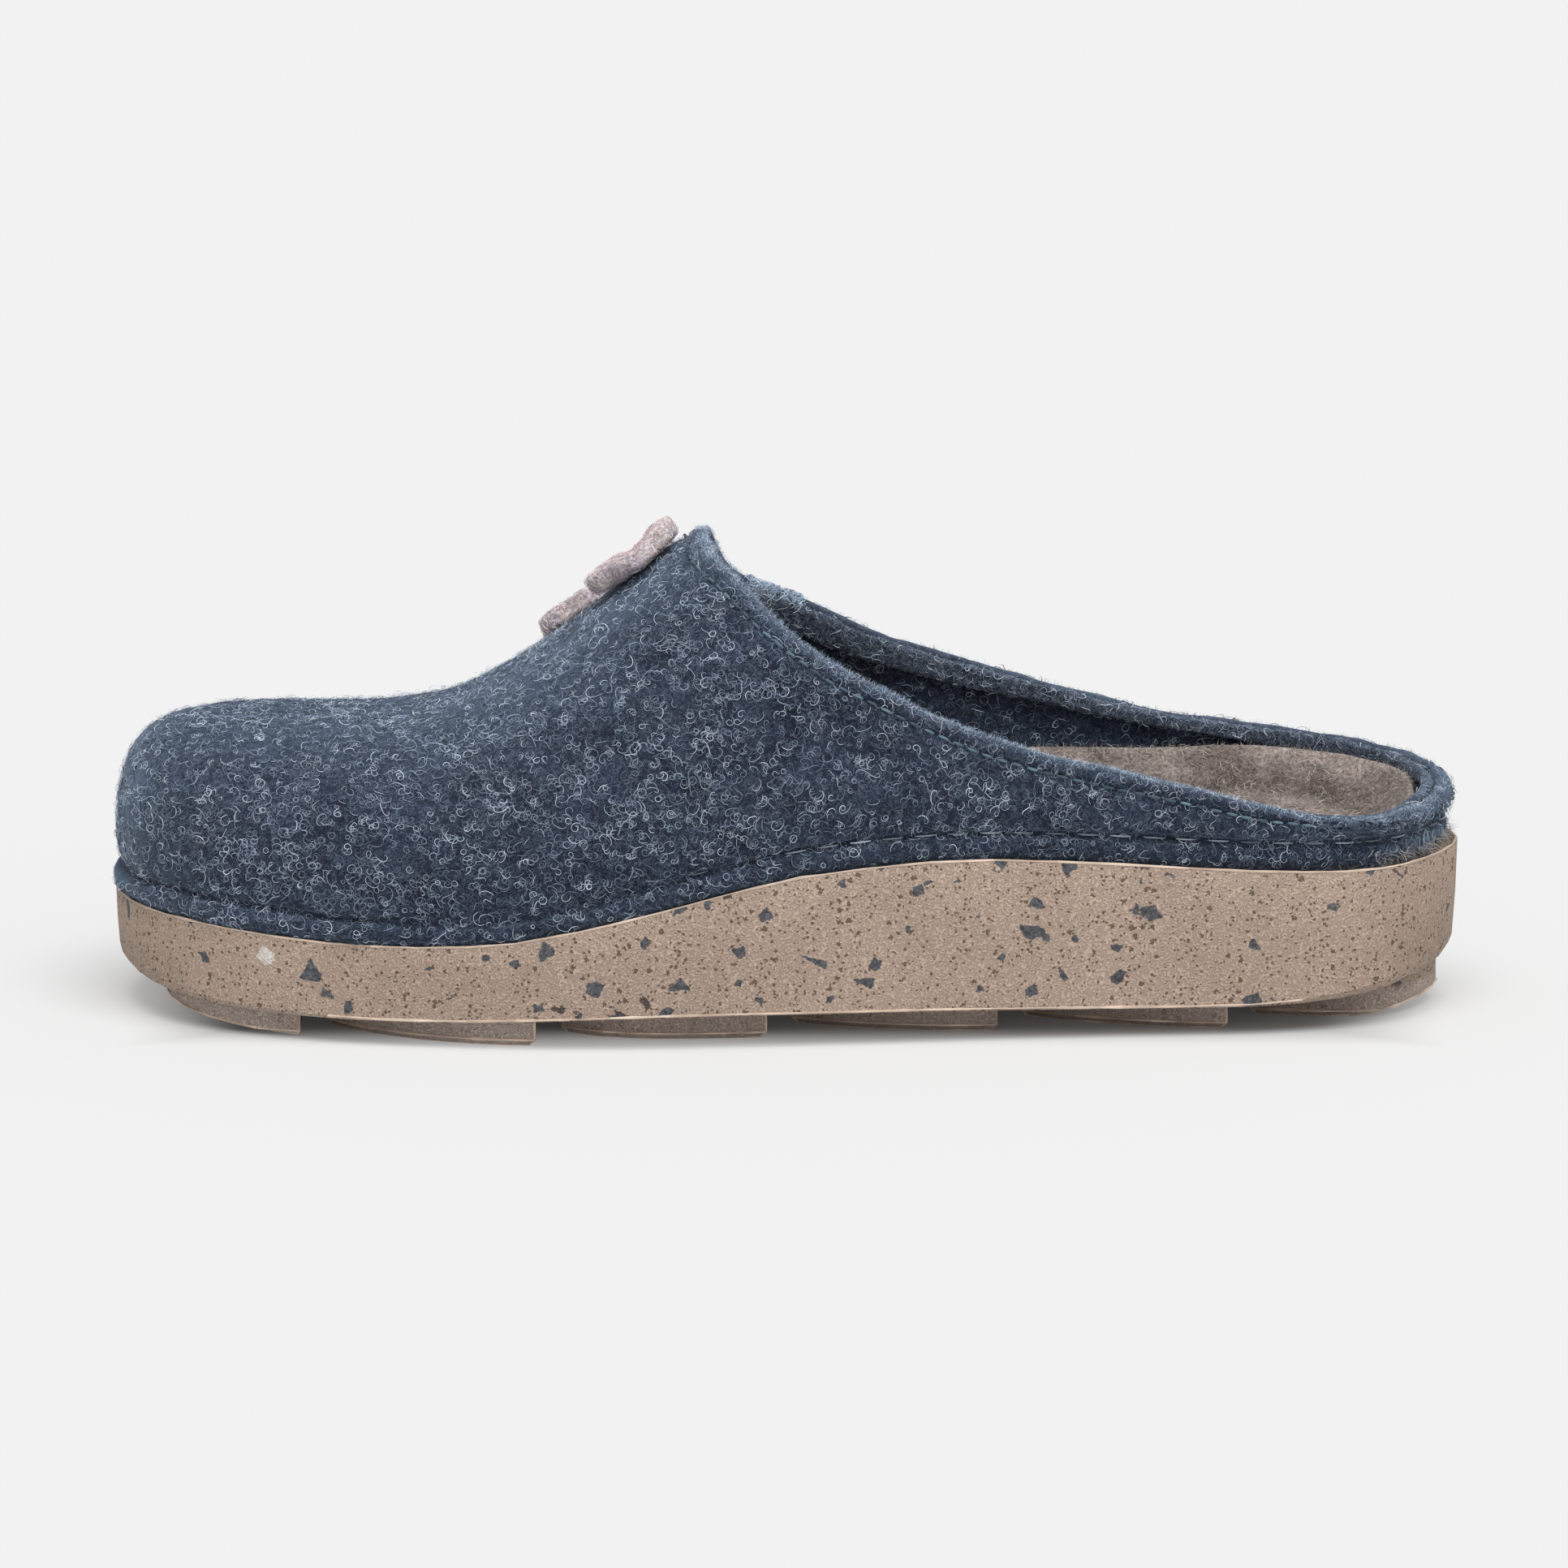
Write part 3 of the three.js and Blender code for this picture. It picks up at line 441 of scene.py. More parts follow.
def foam_material():
    """Speckled foam: tan grain, small pores, slate rubber crumbs, a few white chips and bubble pits."""
    tan = (0.515, 0.395, 0.318)
    brown = (0.42, 0.315, 0.248)
    pore_shade_brown = (0.13, 0.085, 0.06)
    russet_brown = (0.045, 0.03, 0.03)
    deep_slate = (0.028, 0.036, 0.05)
    dusty_slate = (0.1, 0.12, 0.145)
    chip_white = (0.8, 0.76, 0.7)
    greyer = (1.02, 1.1, 1.2)
    material, w, shader = new_material("speckled_foam", tan)
    where = w.place()
    height = w.add("ShaderNodeSeparateXYZ")
    w.join(where, height.inputs[0])
    body = w.ramp(height.outputs["Z"], 4 * MM, 6.5 * MM)
    grain = w.ramp(w.noise(0.42 * MM, where, detail=3.0).outputs["Fac"], 0.36, 0.6)
    cloud = w.ramp(w.noise(22 * MM, where, detail=2.0).outputs["Fac"], 0.3, 0.7, 0.93, 1.06)
    colour = w.blend(grain, (*brown, 1), (*tan, 1))
    colour = w.blend(1.0, colour, cloud, "MULTIPLY")
    lug_tone = w.blend(body, (*greyer, 1), (1, 1, 1, 1))
    colour = w.blend(1.0, colour, lug_tone, "MULTIPLY")
    ragged = w.add("ShaderNodeVectorMath", operation="SCALE")
    w.join(w.noise(1.3 * MM, where, detail=4.0).outputs["Color"], ragged.inputs[0])
    ragged.inputs["Scale"].default_value = 1.2 * MM
    torn = w.shifted(where, ragged.outputs[0])

    def luck_of(cells):
        luck = w.add("ShaderNodeSeparateColor")
        w.join(cells.outputs["Color"], luck.inputs[0])
        return luck.outputs

    def crumbs(size, keep, shift):
        """Angular crumbs: a share of the cells of a cracked pattern."""
        there = w.shifted(torn, (shift, shift, shift))
        kept = w.math("LESS_THAN", luck_of(w.cells(size, there))[0], keep)
        edge = w.ramp(w.cells(size, there, "DISTANCE_TO_EDGE").outputs["Distance"], 0.02, 0.09)
        return w.math("MULTIPLY", kept, edge)

    def dots(size, keep, radius, rag, shift):
        """Round specks: a share of the cells hold one, each of its own size."""
        there = w.shifted(where, (shift, shift, shift))
        cells = w.cells(size, there)
        luck = luck_of(cells)
        kept = w.math("LESS_THAN", luck[0], keep)
        reach = w.math("MULTIPLY", w.ramp(luck[1], 0.0, 1.0, 0.35, 1.0), radius / size)
        reach = w.math("MULTIPLY", reach, kept)
        rough = w.math("MULTIPLY", w.math("SUBTRACT", grain, 0.5), rag)
        away = w.math("ADD", cells.outputs["Distance"], rough)
        return w.ramp(w.math("SUBTRACT", reach, away), 0.0, 0.05)

    large_slate = crumbs(size=3.2 * MM, keep=0.026, shift=0.0)
    small_slate = crumbs(size=2 * MM, keep=0.024, shift=0.3)
    slate = w.math("MULTIPLY", w.math("MAXIMUM", large_slate, small_slate), body)
    russet = w.math("MULTIPLY", crumbs(size=2.4 * MM, keep=0.004, shift=0.45), body)
    chips = w.math("MULTIPLY", crumbs(size=3.4 * MM, keep=0.004, shift=0.7), body)
    small_pores = dots(size=0.9 * MM, keep=0.7, radius=0.33 * MM, rag=0.16, shift=0.0)
    large_pores = dots(size=2 * MM, keep=0.55, radius=0.56 * MM, rag=0.14, shift=0.5)
    pores = w.math("MAXIMUM", small_pores, large_pores)
    pores = w.math("MULTIPLY", pores, w.ramp(body, 0.0, 1.0, 0.35, 1.0))
    pits = dots(size=24 * MM, keep=0.3, radius=1.4 * MM, rag=0.0, shift=0.9)
    # Painted shade: the pores are darkened as shade falls in the small pits
    colour = w.blend(w.math("MULTIPLY", pores, 0.85), colour, (*pore_shade_brown, 1))
    colour = w.blend(w.math("MULTIPLY", russet, 0.85), colour, (*russet_brown, 1))
    dusty = w.noise(0.8 * MM, where, detail=2.0).outputs["Fac"]
    rubber = w.blend(w.ramp(dusty, 0.3, 0.7), (*deep_slate, 1), (*dusty_slate, 1))
    colour = w.blend(w.math("MULTIPLY", slate, 0.9), colour, rubber)
    colour = w.blend(w.math("MULTIPLY", chips, 0.8), colour, (*chip_white, 1))
    w.join(colour, shader.inputs["Base Color"])
    w.join(w.ramp(slate, 0.0, 1.0, 0.85, 0.6), shader.inputs["Roughness"])
    shader.inputs["Specular IOR Level"].default_value = 0.2
    dips = w.math("ADD", w.math("MULTIPLY", pores, -1.6), w.math("MULTIPLY", pits, -3.0))
    relief = w.math("ADD", dips, w.math("MULTIPLY", grain, 0.9))
    w.join(w.bump(relief, 0.9, 0.3 * MM), shader.inputs["Normal"])
    return material


NAVY = felt_material(
    "navy_felt", dark=(0.008, 0.011, 0.022), pale=(0.019, 0.026, 0.046), fibre=(0.2, 0.25, 0.34),
    curl=1.2 * MM, share=0.34, sheen=0.42, tint=(0.55, 0.74, 1.0),
)
HEATHER = felt_material(
    "heather_felt", dark=(0.018, 0.023, 0.038), pale=(0.042, 0.053, 0.08), fibre=(0.34, 0.38, 0.46),
    curl=1.0 * MM, share=0.55, sheen=0.4, tint=(0.6, 0.78, 1.0),
)
FOOTBED = felt_material(
    "footbed_felt", dark=(0.13, 0.105, 0.093), pale=(0.33, 0.275, 0.25), fibre=(0.56, 0.49, 0.45),
    curl=1.1 * MM, share=0.4, sheen=0.2, tint=(1.0, 0.94, 0.88),
)
ROSE = felt_material(
    "rose_felt", dark=(0.36, 0.32, 0.37), pale=(0.62, 0.56, 0.55), fibre=(0.8, 0.7, 0.72),
    curl=0.8 * MM, share=0.5, sheen=0.3, tint=(1.0, 0.9, 0.95),
)
FOAM = foam_material()
CURL_YARN = yarn_material(
    "curled_wool", ((0.1, 0.13, 0.19), (0.28, 0.35, 0.46), (0.66, 0.75, 0.86)),
)
DIM_YARN = yarn_material(
    "matted_wool", ((0.007, 0.01, 0.02), (0.034, 0.046, 0.08), (0.11, 0.145, 0.21)),
)
# Pale wool of the collar's cut edge, made paler still as a painted highlight where its fuzz catches the light
LIT_EDGE_YARN = yarn_material(
    "edge_wool_painted_highlight", ((0.16, 0.23, 0.34), (0.42, 0.53, 0.68), (0.75, 0.85, 0.95)),
)
FOOTBED_YARN = yarn_material(
    "footbed_wool", ((0.1, 0.08, 0.07), (0.33, 0.275, 0.24), (0.62, 0.54, 0.485)),
)
ROSE_YARN = yarn_material(
    "rose_wool",
    ((0.3, 0.34, 0.46), (0.6, 0.38, 0.5), (0.74, 0.68, 0.55), (0.8, 0.6, 0.63), (0.9, 0.88, 0.85)),
)
FRAY_YARN = yarn_material(
    "frayed_wool", ((0.12, 0.13, 0.15), (0.42, 0.38, 0.34), (0.66, 0.61, 0.55)),
)
THREAD = yarn_material("stitch_thread", ((0.03, 0.055, 0.08), (0.12, 0.2, 0.25)))
HEM_THREAD = yarn_material("hem_thread", ((0.05, 0.07, 0.1), (0.3, 0.36, 0.42)))
FLASH = yarn_material("foam_flash", ((0.55, 0.42, 0.33), (0.72, 0.58, 0.47)), sheen=0.0)


def finish_piece(piece, material):
    """Gives a piece its one material and the slot that it takes its finish from."""
    piece.data.materials.clear()
    piece.data.materials.append(material)


# The main pieces

upper = copy_of_node("upper", "felt_upper", 2)
wall = tree_of(upper.data)
rim = evenly(rim_line(wall, COLLAR_MIDDLE, 400), 0.5 * MM)
stitch_line, stitch_ways = under_rim(wall, rim, STITCHES_UNDER_EDGE)
seam_line, seam_ways = hem_line(wall, HEM_SEAM_HEIGHT, 900)
both_lines = np.vstack([stitch_line[::4], evenly(seam_line, 2 * MM)])
refine(upper, lambda middles: distance_to(both_lines, middles) < FINE_MESH_REACH)
places = coordinates(upper.data)
push(
    upper,
    0.5 * MM * lumps(places, 11 * MM)
    + 0.2 * MM * lumps(places, 3 * MM)
    - STITCH_DIP * bell(distance_to(stitch_line, places), STITCH_DIP_WIDTH)
    - HEM_DIP * bell(distance_to(evenly(seam_line, 0.5 * MM), places), HEM_DIP_WIDTH),
)
# Painted highlight along the cut rim of the collar
mark(upper, "rim_highlight", bell(distance_to(rim[::2], coordinates(upper.data)), RIM_HIGHLIGHT_WIDTH))
finish_piece(upper, NAVY)

facing = copy_of_node("collar_facing", "felt_facing", 2)
soften(facing, ((6 * MM, 0.3 * MM), (2.5 * MM, 0.15 * MM)))
finish_piece(facing, HEATHER)

footbed = copy_of_node("insole", "felt_footbed", 2)
places = coordinates(footbed.data)
rise = normals(footbed.data)[:, 2]
footbed_side = places[np.abs(rise) < 0.3][::3, :2]
from_side = distance_to(footbed_side, places[:, :2])
trough = bell(from_side - TROUGH_FROM_SIDE, TROUGH_WIDTH) * (rise > 0.2)
push(
    footbed,
    0.45 * MM * lumps(places, 20 * MM)
    + 0.18 * MM * lumps(places, 4 * MM)
    - TROUGH_DEPTH * trough,
)
# Painted shade along the footbed's trough, inside its raised edge
mark(footbed, "crease_shade", 0.9 * trough * (0.8 + 0.4 * lumps(places, 9 * MM)))
finish_piece(footbed, FOOTBED)

sole = copy_of_node("outsole", "foam_sole", 0)
finish_piece(sole, FOAM)
pick(sole)
bpy.ops.object.shade_smooth_by_angle(angle=SOLE_EDGE_ANGLE)

blossoms = [copy_of_node(node, f"felt_{node}", 2) for node in ("blossom_large", "blossom_small")]
large = blossoms[0]
petal_fold = bell(coordinates(large.data)[:, 0] - PETAL_FOLD_AT, PETAL_FOLD_WIDTH)
push(large, -PETAL_FOLD_DEPTH * petal_fold * np.clip(2 * normals(large.data)[:, 2], 0, 1))
for blossom in blossoms:
    soften(blossom, ((3 * MM, 0.35 * MM),))
    finish_piece(blossom, ROSE)


# Loose fibres


def scatter(piece, count, seed, keep=None):
    """Random points on a piece: places, outward ways, and two directions along the surface."""
    rng = np.random.default_rng(seed)
    mesh = piece.data
    mesh.calc_loop_triangles()
    corners = np.empty(3 * len(mesh.loop_triangles), dtype=np.int32)
    mesh.loop_triangles.foreach_get("vertices", corners)
    corners = coordinates(mesh)[corners.reshape(-1, 3)]
    face = np.cross(corners[:, 1] - corners[:, 0], corners[:, 2] - corners[:, 0])
    area = np.linalg.norm(face, axis=1)
    way = face / np.maximum(area, 1e-15)[:, None]
    if keep is not None:
        area = area * keep(corners.mean(axis=1), way)
    chosen = rng.choice(len(area), size=count, p=area / area.sum())
    a, b = rng.random((2, count, 1))
    fold = a + b > 1
    a, b = np.where(fold, 1 - a, a), np.where(fold, 1 - b, b)
    c = corners[chosen]
    place = c[:, 0] + a * (c[:, 1] - c[:, 0]) + b * (c[:, 2] - c[:, 0])
    way = way[chosen]
    helper = np.where(np.abs(way[:, 2:3]) < 0.9, [[0.0, 0.0, 1.0]], [[1.0, 0.0, 0.0]])
    first = np.cross(way, helper)
    first /= np.linalg.norm(first, axis=1)[:, None]
    return place, way, first, np.cross(way, first), rng


def strand_piece(name, rings, around, shades, material):
    """One piece of strands. rings: strand, point, corner, xyz; shades: one number a strand."""
    strands, points, corners = rings.shape[:3]
    start = corners * points * np.arange(strands)[:, None, None, None]
    step = corners * np.arange(points - 1)[None, :, None, None]
    this = np.arange(corners if around else corners - 1)
    quad = np.stack([this, (this + 1) % corners, (this + 1) % corners + corners, this + corners], axis=1)
    faces = (start + step + quad[None, None]).reshape(-1, 4)
    mesh = bpy.data.meshes.new(name)
    mesh.from_pydata(rings.reshape(-1, 3).tolist(), [], faces.tolist())
    shade = mesh.attributes.new("shade", "FLOAT", "POINT")
    shade.data.foreach_set("value", np.repeat(shades, corners * points))
    mesh.update()
    piece = add_piece(name, mesh)
    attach(piece, "root")
    finish_piece(piece, material)
    return piece


def ribbons(lines, sides):
    """The two edges of each flat strand."""
    return np.stack([lines - sides, lines + sides], axis=2)


def curled_fibres(
    name, piece, count, seed, length, radius, width, lift, material, keep=None, points=9, tip=0.0
):
    """Curled fibres that lie on a piece, or tip up from it: each bends one way, as wool does."""
    place, way, first, second, rng = scatter(piece, count, seed, keep)
    span = rng.uniform(*length, (count, 1))
    turn = rng.choice([-1.0, 1.0], (count, 1)) / rng.uniform(*radius, (count, 1))
    along = np.linspace(0, 1, points)[None, :]
    wobble = 0.7 * np.sin(math.tau * (along * rng.uniform(0.3, 1.2, (count, 1)) + rng.random((count, 1))))
    heading = rng.uniform(0, math.tau, (count, 1)) + turn * span * along + wobble
    step = span / (points - 1)
    u = np.cumsum(np.cos(heading) * step, axis=1)
    v = np.cumsum(np.sin(heading) * step, axis=1)
    u -= u.mean(axis=1, keepdims=True)
    v -= v.mean(axis=1, keepdims=True)
    rise = lift * (0.3 + rng.random((count, 1)) * np.sin(math.pi * along))
    rise += tip * rng.random((count, 1)) * (u - u.min(axis=1, keepdims=True))
    lines = (
        place[:, None]
        + u[..., None] * first[:, None]
        + v[..., None] * second[:, None]
        + rise[..., None] * way[:, None]
    )
    lean = rng.uniform(-0.9, 0.9, (count, 1, 1))
    across = -np.sin(heading)[..., None] * first[:, None] + np.cos(heading)[..., None] * second[:, None]
    half = 0.5 * width * rng.uniform(0.7, 1.2, (count, 1, 1))
    taper = np.minimum(1.0, 4.0 * np.minimum(along, 1 - along) + 0.35)[..., None]
    sides = half * taper * (np.cos(lean) * across + np.sin(lean) * way[:, None])
    return strand_piece(name, ribbons(lines, sides), False, rng.random(count), material)


def standing_fibres(name, piece, count, seed, length, width, material, keep=None, lean=0.8, points=4):
    """Short fibres that stand off a piece and bend over."""
    place, way, first, second, rng = scatter(piece, count, seed, keep)
    span = rng.uniform(*length, (count, 1, 1))
    spin = rng.uniform(0, math.tau, (count, 1))
    over = np.cos(spin) * first + np.sin(spin) * second
    along = np.linspace(0, 1, points)[None, :, None]
    tilt = lean * rng.random((count, 1, 1))
    rise = along * (1 - 0.4 * tilt * along) * way[:, None]
    lines = place[:, None] + span * (rise + tilt * along**1.6 * over[:, None])
    sides = 0.5 * width * (1 - 0.7 * along) * np.cross(way, over)[:, None]
    return strand_piece(name, ribbons(lines, sides), False, rng.random(count), material)


def outside(middle, way):
    """Keeps the upper's outer face, and its inner face where the collar is open."""
    facing_out = way[:, 1] * middle[:, 1] + way[:, 2] * (middle[:, 2] - 30 * MM) > 0
    return np.where(facing_out, 1.0, np.where(middle[:, 0] > -10 * MM, 0.6, 0.0))


def patchy(middle, way):
    """Keeps the outer face, a little more in some patches, but not the far side's cut edge."""
    far_rim = (middle[:, 1] > 0) * bell(distance_to(rim[::6], middle), 3 * MM)
    return outside(middle, way) * np.clip(0.8 + 0.55 * lumps(middle, 8 * MM), 0.55, 1.2) * (1 - far_rim)


def near_rim(middle, way):
    """Keeps the cut edge of the collar, more on the near side and at the throat."""
    share = np.where((middle[:, 1] < 0) | (middle[:, 0] < -8 * MM), 1.0, 0.15)
    return share * bell(distance_to(rim[::3], middle), 1.1 * MM) * (outside(middle, way) > 0)


def folded_rim(middle, way):
    """Keeps the short fold of paler felt on the far side of the collar, behind the throat."""
    along = (middle[:, 0] > -7 * MM) & (middle[:, 0] < 4 * MM) & (middle[:, 1] > 0)
    return along * bell(distance_to(rim[::3], middle), 1.6 * MM)


def heel_foot(middle, way):
    """Keeps the foot of the wall round the heel."""
    low = middle[:, 2] < 34 * MM
    return low * np.clip((middle[:, 0] / MM - 100) / 20, 0, 1) ** 2 * (outside(middle, way) > 0)


def facing_top(middle, way):
    """Keeps the facing's upper edge."""
    return bell(distance_to(rim[::3], middle), 3 * MM)


def footbed_top(middle, way):
    """Keeps the footbed's top where the collar is open."""
    return (way[:, 2] > 0) * (middle[:, 0] > -45 * MM)


def footbed_nap_share(middle, way):
    """Keeps the footbed's top where it shows, and more of its rounded edge."""
    edge = bell(distance_to(footbed_side, middle[:, :2]), 3 * MM)
    return footbed_top(middle, way) * (0.6 + 1.8 * edge)


curled_fibres(
    "upper_curls", upper, count=9900, seed=3, length=(2.6 * MM, 5.6 * MM), radius=(0.42 * MM, 0.95 * MM),
    width=0.09 * MM, lift=0.2 * MM, material=CURL_YARN, keep=patchy, points=11, tip=0.5,
)
curled_fibres(
    "upper_wool", upper, count=8200, seed=12, length=(1.8 * MM, 4 * MM), radius=(0.4 * MM, 1.3 * MM),
    width=0.065 * MM, lift=0.2 * MM, material=CURL_YARN, keep=patchy, points=8, tip=0.4,
)
curled_fibres(
    "upper_matting", upper, count=6000, seed=4, length=(2.5 * MM, 6 * MM), radius=(0.5 * MM, 2.2 * MM),
    width=0.12 * MM, lift=0.14 * MM, material=DIM_YARN, keep=outside, points=7,
)
standing_fibres(
    "upper_nap", upper, count=9000, seed=11, length=(0.3 * MM, 0.8 * MM), width=0.06 * MM,
    material=DIM_YARN, keep=outside,
)
standing_fibres(
    "collar_fringe", upper, count=11000, seed=5, length=(0.4 * MM, 1.1 * MM), width=0.07 * MM,
    material=LIT_EDGE_YARN, keep=near_rim, lean=0.9,
)
curled_fibres(
    "collar_fold", upper, count=900, seed=13, length=(0.9 * MM, 2.2 * MM), radius=(0.8 * MM, 3 * MM),
    width=0.1 * MM, lift=0.6 * MM, material=LIT_EDGE_YARN, keep=folded_rim, points=6,
)
standing_fibres(
    "heel_fray", upper, count=1600, seed=14, length=(1 * MM, 3.2 * MM), width=0.08 * MM,
    material=FRAY_YARN, keep=heel_foot, lean=1.3,
)
curled_fibres(
    "facing_curls", facing, count=2600, seed=6, length=(1.4 * MM, 3.4 * MM), radius=(0.5 * MM, 1.6 * MM),
    width=0.09 * MM, lift=0.2 * MM, material=CURL_YARN, points=7,
)
standing_fibres(
    "facing_fringe", facing, count=2600, seed=15, length=(0.25 * MM, 0.5 * MM), width=0.08 * MM,
    material=CURL_YARN, keep=facing_top,
)
curled_fibres(
    "footbed_fibres", footbed, count=9000, seed=7, length=(1.2 * MM, 3.2 * MM), radius=(0.9 * MM, 3 * MM),
    width=0.085 * MM, lift=0.5 * MM, material=FOOTBED_YARN, keep=footbed_top, points=6,
)
standing_fibres(
    "footbed_nap", footbed, count=8000, seed=8, length=(0.7 * MM, 1.8 * MM), width=0.075 * MM,
    material=FOOTBED_YARN, keep=footbed_nap_share, lean=1.1,
)
for number, blossom in enumerate(blossoms):
    curled_fibres(
        f"blossom_fibres_{number + 1}", blossom, count=2000, seed=9 + number,
        length=(0.9 * MM, 2.4 * MM), radius=(0.8 * MM, 3 * MM), width=0.1 * MM, lift=0.3 * MM,
        material=ROSE_YARN, points=6,
    )


# Stitches


def stitches(name, line, ways, stitch, gap, thick, height, material):
    """Threads laid end to end along a line: each rises out of the felt and goes back in."""
    reach = np.concatenate([[0], np.cumsum(np.linalg.norm(np.diff(line, axis=0), axis=1))])
    count = int(reach[-1] / (stitch + gap))
    starts = reach[-1] * np.arange(count) / count
    along = np.linspace(0, 1, 7)
    at = starts[:, None] + stitch * along[None, :]
    middle = np.stack([np.interp(at, reach, line[:, i]) for i in range(3)], axis=2)
    out = np.stack([np.interp(at, reach, ways[:, i]) for i in range(3)], axis=2)
    out /= np.linalg.norm(out, axis=2, keepdims=True)
    middle = middle + (height * (np.sin(math.pi * along) ** 0.5 * 2 - 1))[None, :, None] * out
    forward = middle[:, -1:] - middle[:, :1]
    forward /= np.linalg.norm(forward, axis=2, keepdims=True)
    side = np.cross(out, forward)
    turn = math.tau * np.arange(6) / 6
    across = np.cos(turn)[None, None, :, None] * side[:, :, None]
    upwards = np.sin(turn)[None, None, :, None] * out[:, :, None]
    round_way = across + upwards
    swell = 0.5 * thick * np.array([0.5, 0.85, 1, 1, 1, 0.85, 0.5])[None, :, None, None]
    shades = np.random.default_rng(20).random(count)
    return strand_piece(name, middle[:, :, None] + swell * round_way, True, shades, material)


stitches(
    "collar_stitches", stitch_line, stitch_ways, stitch=2.1 * MM, gap=0.9 * MM, thick=0.55 * MM,
    height=0.15 * MM, material=THREAD,
)
# The hem's threads lie deep in the felt over the toes and come up to its face behind the ball.
hem_out = np.interp(seam_line[:, 0], (-25 * MM, 0), (-1.2 * MM, 0.55 * MM))
stitches(
    "hem_stitches", seam_line + seam_ways * hem_out[:, None], seam_ways, stitch=4 * MM, gap=2.2 * MM,
    thick=0.3 * MM, height=0.2 * MM, material=HEM_THREAD,
)


# Thin flash left along the sole's sharp edges by the mould


def flash_lines(piece, name, sharp, thick, material):
    """A thin uneven bead of foam on each outward edge that is sharper than an angle."""
    made = bmesh.new()
    made.from_mesh(piece.data)
    ends = [
        [edge.verts[0].co[:], edge.verts[1].co[:]]
        for edge in made.edges
        if edge.is_manifold and edge.calc_face_angle_signed() > sharp and edge.calc_length() > 0.5 * MM
    ]
    made.free()
    ends = np.array(ends)
    share = np.linspace(0, 1, 4)[None, :, None]
    line = ends[:, None, 0] * (1 - share) + ends[:, None, 1] * share
    forward = ends[:, 1] - ends[:, 0]
    forward /= np.linalg.norm(forward, axis=1)[:, None]
    first = np.cross(forward, [0.0, 0.0, 1.0]) + 1e-9
    first /= np.linalg.norm(first, axis=1)[:, None]
    second = np.cross(forward, first)
    uneven = 1 + 0.9 * lumps(line.reshape(-1, 3), 4 * MM).reshape(line.shape[:2])
    turn = math.tau * np.arange(5) / 5
    ring = np.cos(turn)[None, :, None] * first[:, None] + np.sin(turn)[None, :, None] * second[:, None]
    rings = line[:, :, None] + 0.5 * thick * uneven[:, :, None, None] * ring[:, None]
    shades = np.random.default_rng(21).random(len(ends))
    return strand_piece(name, rings, True, shades, material)


flash_lines(sole, "sole_flash", sharp=FLASH_ANGLE, thick=0.45 * MM, material=FLASH)


# Camera, light and floor

PHOTO_PIXELS = 1932
PIXELS_PER_M = 6420
CAMERA_AWAY = 3.0
CAMERA_UP = math.radians(11.2)
AIM = Vector((0.0, 0.0, 45 * MM))
CAMERA_LOWERED = 2.9 * MM
CAMERA_ASIDE = 0.16 * MM

camera = bpy.data.objects.new("camera", bpy.data.cameras.new("camera"))
bpy.context.scene.collection.objects.link(camera)
bpy.context.scene.camera = camera
camera.data.sensor_width = 36
camera.data.lens = 36 * CAMERA_AWAY * PIXELS_PER_M / PHOTO_PIXELS
camera.data.clip_end = 50
sight = Vector((0.0, math.cos(CAMERA_UP), -math.sin(CAMERA_UP)))
above = Vector((0.0, math.sin(CAMERA_UP), math.cos(CAMERA_UP)))
camera.location = AIM - CAMERA_AWAY * sight - CAMERA_LOWERED * above + Vector((CAMERA_ASIDE, 0, 0))
camera.rotation_euler = (math.pi / 2 - CAMERA_UP, 0, 0)

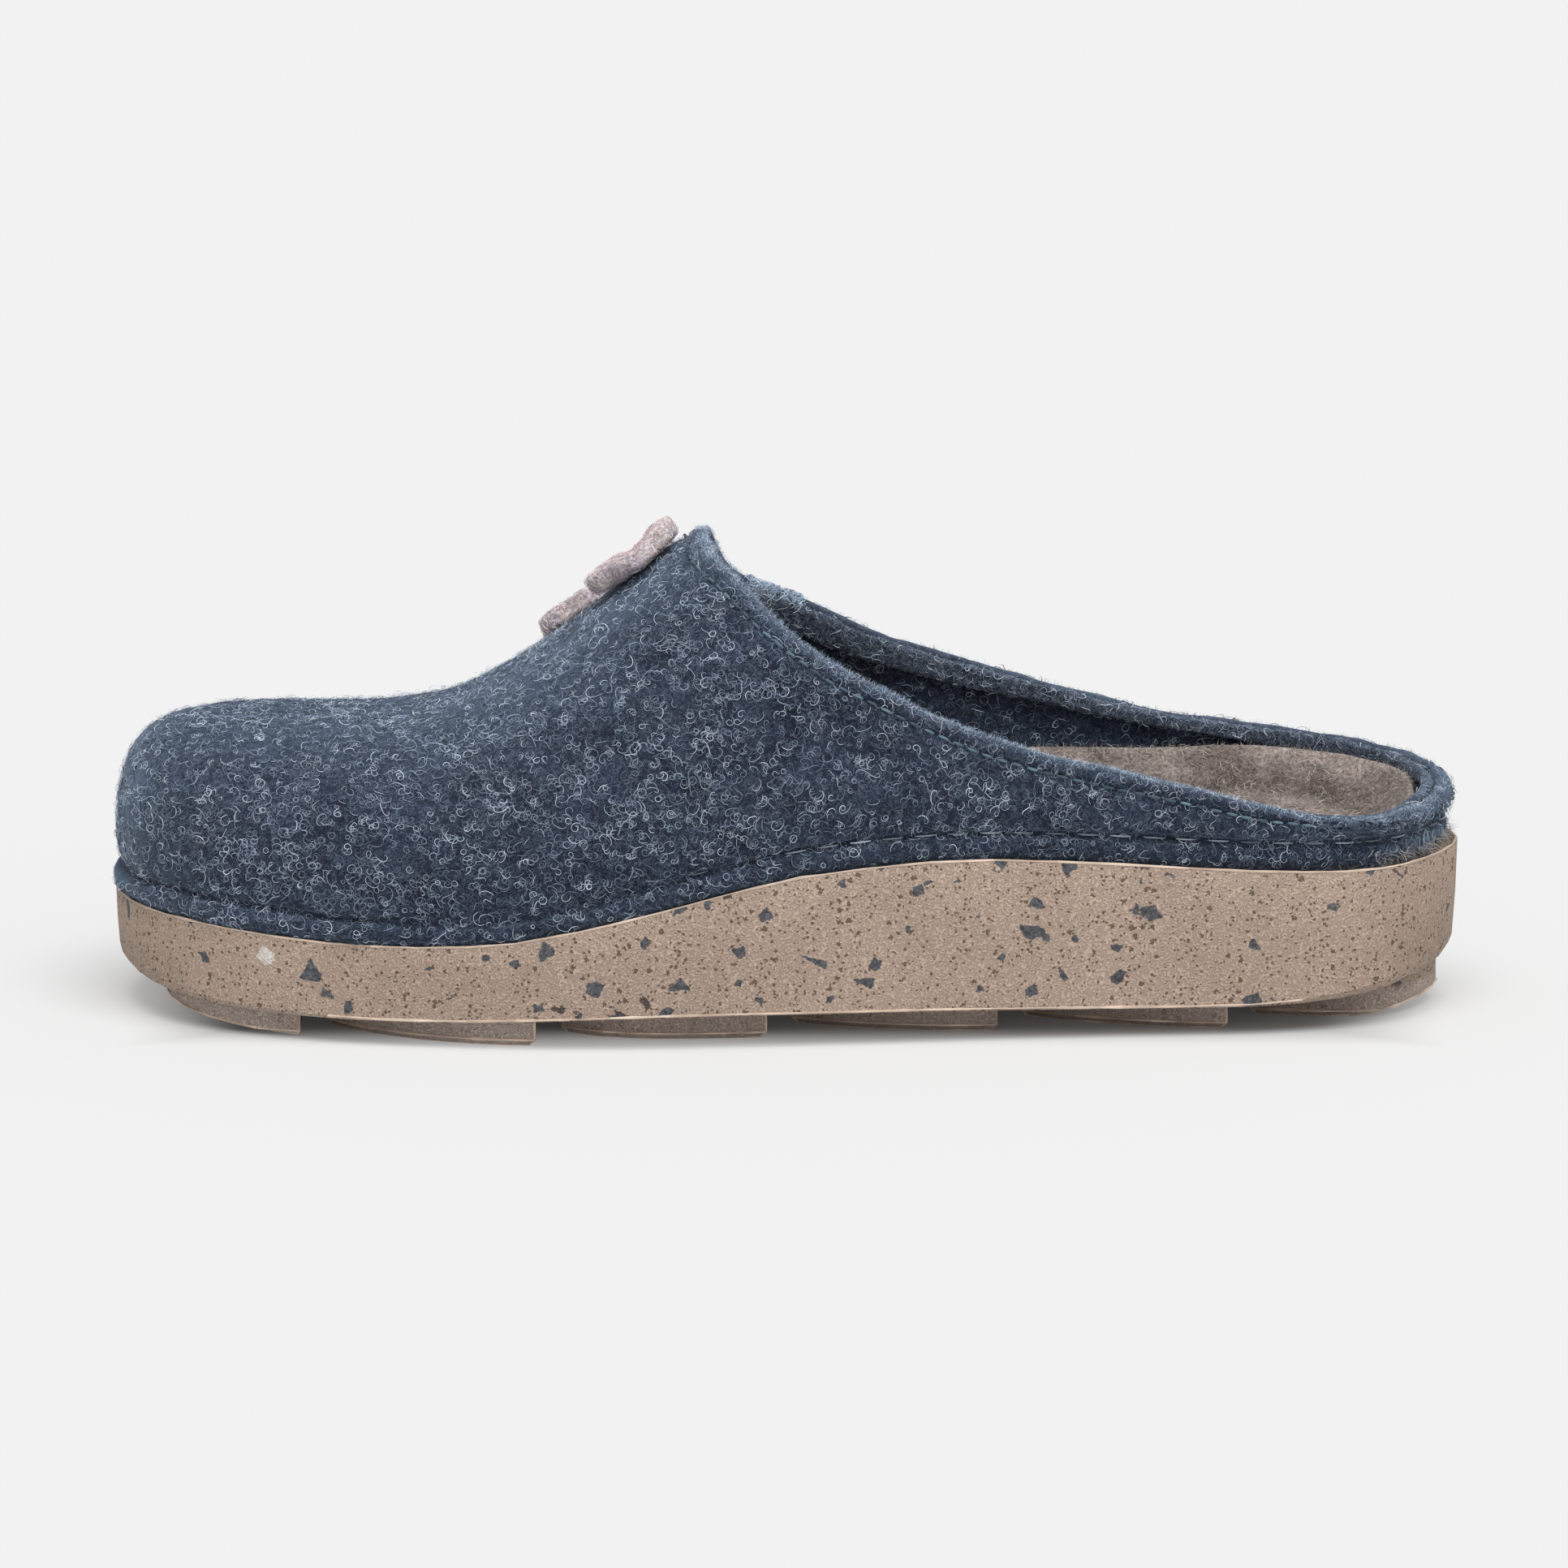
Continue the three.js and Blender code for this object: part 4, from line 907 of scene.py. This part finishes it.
# Metres. The floor glows a little, and less under the sole as a painted shadow, where the real one lies in
# deep shade: the first number of each pair is the half size of the shadow, the second where it has faded out.
FLOOR_SIZE = 16
SHADE_HALF_LENGTH = (0.1, 0.128)
SHADE_HALF_WIDTH = (0.026, 0.046)

clear_selection()
bpy.ops.mesh.primitive_plane_add(size=FLOOR_SIZE, location=(0, 0, 0))
floor = bpy.context.object
floor.name = "floor"
paper, paper_wiring, paper_shader = new_material("pale_floor", (0.9, 0.9, 0.9))
paper_shader.inputs["Base Color"].default_value = (0.42, 0.42, 0.42, 1)
paper_shader.inputs["Roughness"].default_value = 0.9
paper_shader.inputs["Specular IOR Level"].default_value = 0.0
floor_place = paper_wiring.add("ShaderNodeSeparateXYZ")
paper_wiring.join(paper_wiring.place(), floor_place.inputs[0])
lengthwise = paper_wiring.math("ABSOLUTE", floor_place.outputs["X"])
sideways = paper_wiring.math("ABSOLUTE", floor_place.outputs["Y"])
past_ends = paper_wiring.ramp(lengthwise, *SHADE_HALF_LENGTH)
past_sides = paper_wiring.ramp(sideways, *SHADE_HALF_WIDTH)
beyond = paper_wiring.math("MAXIMUM", past_ends, past_sides)
# Painted shadow: the floor's glow is dimmer under the sole
glow = paper_wiring.blend(beyond, (0.08, 0.08, 0.08, 1), (1, 1, 1, 1))
paper_wiring.join(glow, paper_shader.inputs["Emission Color"])
paper_shader.inputs["Emission Strength"].default_value = 0.33
floor.data.materials.append(paper)

world = bpy.data.worlds.new("studio")
bpy.context.scene.world = world
world.use_nodes = True
world.node_tree.nodes["Background"].inputs["Color"].default_value = (1, 1, 1, 1)
world.node_tree.nodes["Background"].inputs["Strength"].default_value = 0.42


def add_sun(name, strength, size, elevation, azimuth):
    """A soft, even light. The azimuth is the side it comes from, and 0 is the camera's side."""
    sun = bpy.data.objects.new(name, bpy.data.lights.new(name, "SUN"))
    sun.data.energy = strength
    sun.data.angle = math.radians(size)
    sun.rotation_euler = (math.radians(90 - elevation), 0, math.radians(-azimuth))
    bpy.context.scene.collection.objects.link(sun)


add_sun("top_light", strength=2.8, size=50, elevation=70, azimuth=-15)
add_sun("front_light", strength=0.4, size=60, elevation=35, azimuth=-20)

bpy.context.scene.view_settings.view_transform = "Standard"
